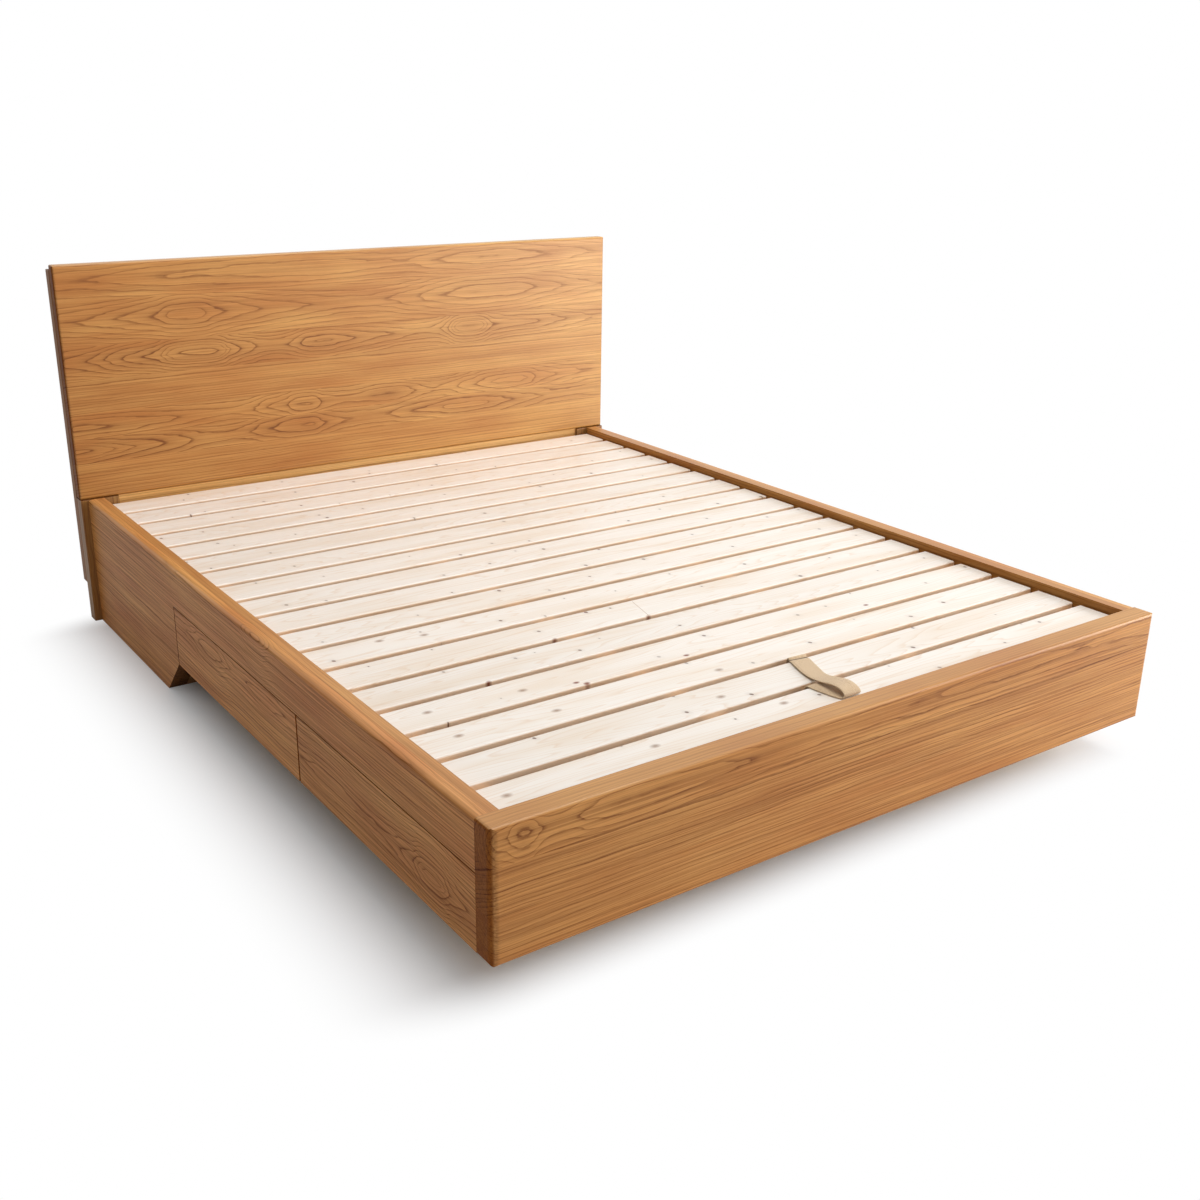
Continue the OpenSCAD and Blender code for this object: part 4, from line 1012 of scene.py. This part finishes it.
def dress_sides():
    """Rails of two boards glued face to face, the boxed section's boards, and the drawer fronts."""
    left = [
        (-10, -120, [(-1000, 60), (0, 60), (1000, 56)], 1.02, 0.7, 6),
        (122, -60, [(-1000, 60), (0, 60), (500, 58), (1000, 56)], 1.04, 0.8, 6),
        (214, 396, [
            (-1013, 56), (-500, 50), (-240, 48), (-144, 20), (-60, 46), (400, 56), (1000, 60)
        ], 1.04, 0.8, 6),
    ]
    right = [
        (-10, 50, wandering(3, -1000, 1000), 0.97, 0.7, 6),
        (118, 160, wandering(4, -1000, 1000), 1.0, 0.8, 7),
        (214, 380, wandering(5, -1000, 1000), 1.04, 0.8, 6.5),
    ]
    for side, end, species, boards in (("left", 0, LEFT_RAIL_ELM, left), ("right", 1, RIGHT_RAIL_ELM, right)):
        face = face_of(side + "_side_panel", "X", end)
        material = timber("oiled_elm_%s_side" % side, species, "Y", "Z", "X", face, boards, RAIL_OUTER)
        dress([side + "_side_panel"], material)
    fronts = {
        "left_foot_drawer_front": (158, [
            (-1013, 42), (-930, 34), (-872, 20), (-800, 36), (-620, 48), (-480, 44), (-340, 50)
        ], 1.0, 0.9, 6.5),
        "left_head_drawer_front": (210, [
            (-340, 50), (-160, 46), (-20, 50), (120, 36), (240, 46), (353, 50)
        ], 1.08, 0.8, 6.5),
        "right_foot_drawer_front": (150, wandering(6, -1013, -340), 1.0, 0.9, 7),
        "right_head_drawer_front": (180, wandering(7, -340, 353), 0.98, 0.9, 7),
    }
    for name, board in fronts.items():
        end, species = (0, LEFT_FRONT_ELM) if name.startswith("left") else (1, RIGHT_FRONT_ELM)
        lower, face = face_of(name, "Z", 0), face_of(name, "X", end)
        dress([name], timber("oiled_elm_" + name, species, "Y", "Z", "X", face, [(lower, *board)]))


def dress_uprights():
    """Head legs and back battens, with their grain upright."""
    for side, sign, seed in (("left", -1, 8), ("right", 1, 9)):
        # The legs' dark tone is painted shade
        leg = [(-900, sign * 600, wandering(seed, 0, 336, 48, 8), LEG_SHADE_TONE, 0.8, 7)]
        face = face_of(side + "_head_leg", "Y", 0)
        dress([side + "_head_leg"], timber("oiled_elm_%s_leg" % side, ELM, "Z", "X", "Y", face, leg))
        batten = [(-900, sign * 780, wandering(seed + 20, 100, 922, 44, 10), 1.0, 0.8, 7)]
        face = face_of(side + "_back_batten", "Y", 1)
        material = timber("oiled_dark_elm_%s_batten" % side, DARK_ELM, "Z", "X", "Y", face, batten)
        dress([side + "_back_batten"], material)


def dress_cross_boards():
    """Head end board, sloped board, plinth and drawer runners, in the frame's wood.

    The plinth's sides and the runners have faces on several planes, and one plane near them serves for all.
    """
    for name, finish, species, axes, face, height, depths, tone in (
        ("head_end_board", "oiled_pale_elm_head_end", PALE_ELM, "XZY", face_of("head_end_board", "Y", 0), 40,
         wandering(10, -735, 735, 56, 6), 1.0),
        # The sloped board's dark tone is painted shade
        ("sloped_plinth_board", "oiled_elm_sloped_board", ELM, "XZY", face_of("sloped_plinth_board", "Y", 0),
         40, wandering(11, -770, 770), SHADE_TONE),
        ("plinth_front", "oiled_elm_plinth_front", ELM, "XZY", face_of("plinth_front", "Y", 0), 30,
         wandering(12, -600, 600), 0.95),
        ("plinth_sides", "oiled_elm_plinth_sides", ELM, "YZX", 560, 50, wandering(13, -813, 450), 0.95),
        ("drawer_runners", "oiled_dark_elm_runners", DARK_ELM, "XZY", -340, 140,
         wandering(14, -1000, 1000, 50, 8), 1.0),
    ):
        dress([name], timber(finish, species, *axes, face, [(0, height, depths, tone, 0.8, 7)]))


def dress_pine():
    """Bare pine of the deck's frame, the partitions and the drawer boxes."""
    across = [(0, 200, wandering(15, -790, 790), 1.0, 1.0, 5)]
    dress(
        ["head_partition", "mid_partition", "foot_partition"],
        timber("planed_pine_partitions", PINE, "X", "Z", "Y", face_of("head_partition", "Y", 0), across),
    )
    lengthwise = [(0, 190, wandering(16, -1000, 1000), 1.0, 1.0, 5)]
    face = face_of("centre_spine", "X", 1)
    dress(["centre_spine"], timber("planed_pine_spine", PINE, "Y", "Z", "X", face, lengthwise))
    strips = [(0, 262, wandering(17, -1000, 1000), 1.0, 1.0, 5)]
    stiles = [side + "_" + row + "_stile" for side in ("left", "right") for row in ("outer", "inner")]
    dress(
        ["deck_ledgers", "floor_cleats"] + stiles,
        timber("planed_pine_strips", PINE, "Y", "Z", "X", face_of("right_outer_stile", "X", 1), strips)
    )
    box_sides = [(0, 168, wandering(18, -790, 790), 1.0, 1.0, 5)]
    box_backs = [(0, 176, wandering(19, -1000, 400), 1.0, 1.0, 5)]
    face = face_of("left_head_drawer_sides", "Y", 1)
    sides = timber("planed_pine_drawer_sides", PINE, "X", "Z", "Y", face, box_sides)
    face = face_of("right_foot_drawer_back", "X", 0)
    backs = timber("planed_pine_drawer_backs", PINE, "Y", "Z", "X", face, box_backs)
    drawers = [side + "_" + end + "_drawer" for side in ("left", "right") for end in ("foot", "head")]
    dress([name + "_sides" for name in drawers], sides)
    dress([name + "_back" for name in drawers], backs)
    dress([name + "_bottom" for name in drawers] + ["compartment_floor"], birch_plywood())
    groups = ["slats_group_%d" % k for k in range(1, 7)]
    starts = [face_of(name, "Y", 0) for name in groups[:2]]
    pitch = (starts[1] - starts[0]) / SLATS_IN_GROUP
    gap = starts[1] - face_of(groups[0], "Y", 1)
    dress(groups, planed_pine_slats((starts[0] - gap / 2) * MM, pitch * MM))


def dress_steel():
    """Fittings, screws and gas struts."""
    dress(["bracket_screws", "batten_screws", "slat_screws", "corner_brackets"], zinc_plated_steel())
    coated = ["pivot_brackets", "strut_mounts", "deck_pivot_plates", "strut_brackets"]
    dress(coated + ["left_strut_tube", "right_strut_tube"], black_powder_coat())
    dress(["left_strut_rod", "right_strut_rod"], polished_steel_rod())


place_camera()
dress_headboard()
dress_footboard()
dress_sides()
dress_uprights()
dress_cross_boards()
dress_pine()
dress_steel()

strap = model_pull_strap()
strap.data.materials.append(cotton_webbing())
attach(strap, "deck")
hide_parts("pull_strap")

studio_floor()
light_studio()
scene.view_settings.view_transform = "Standard"
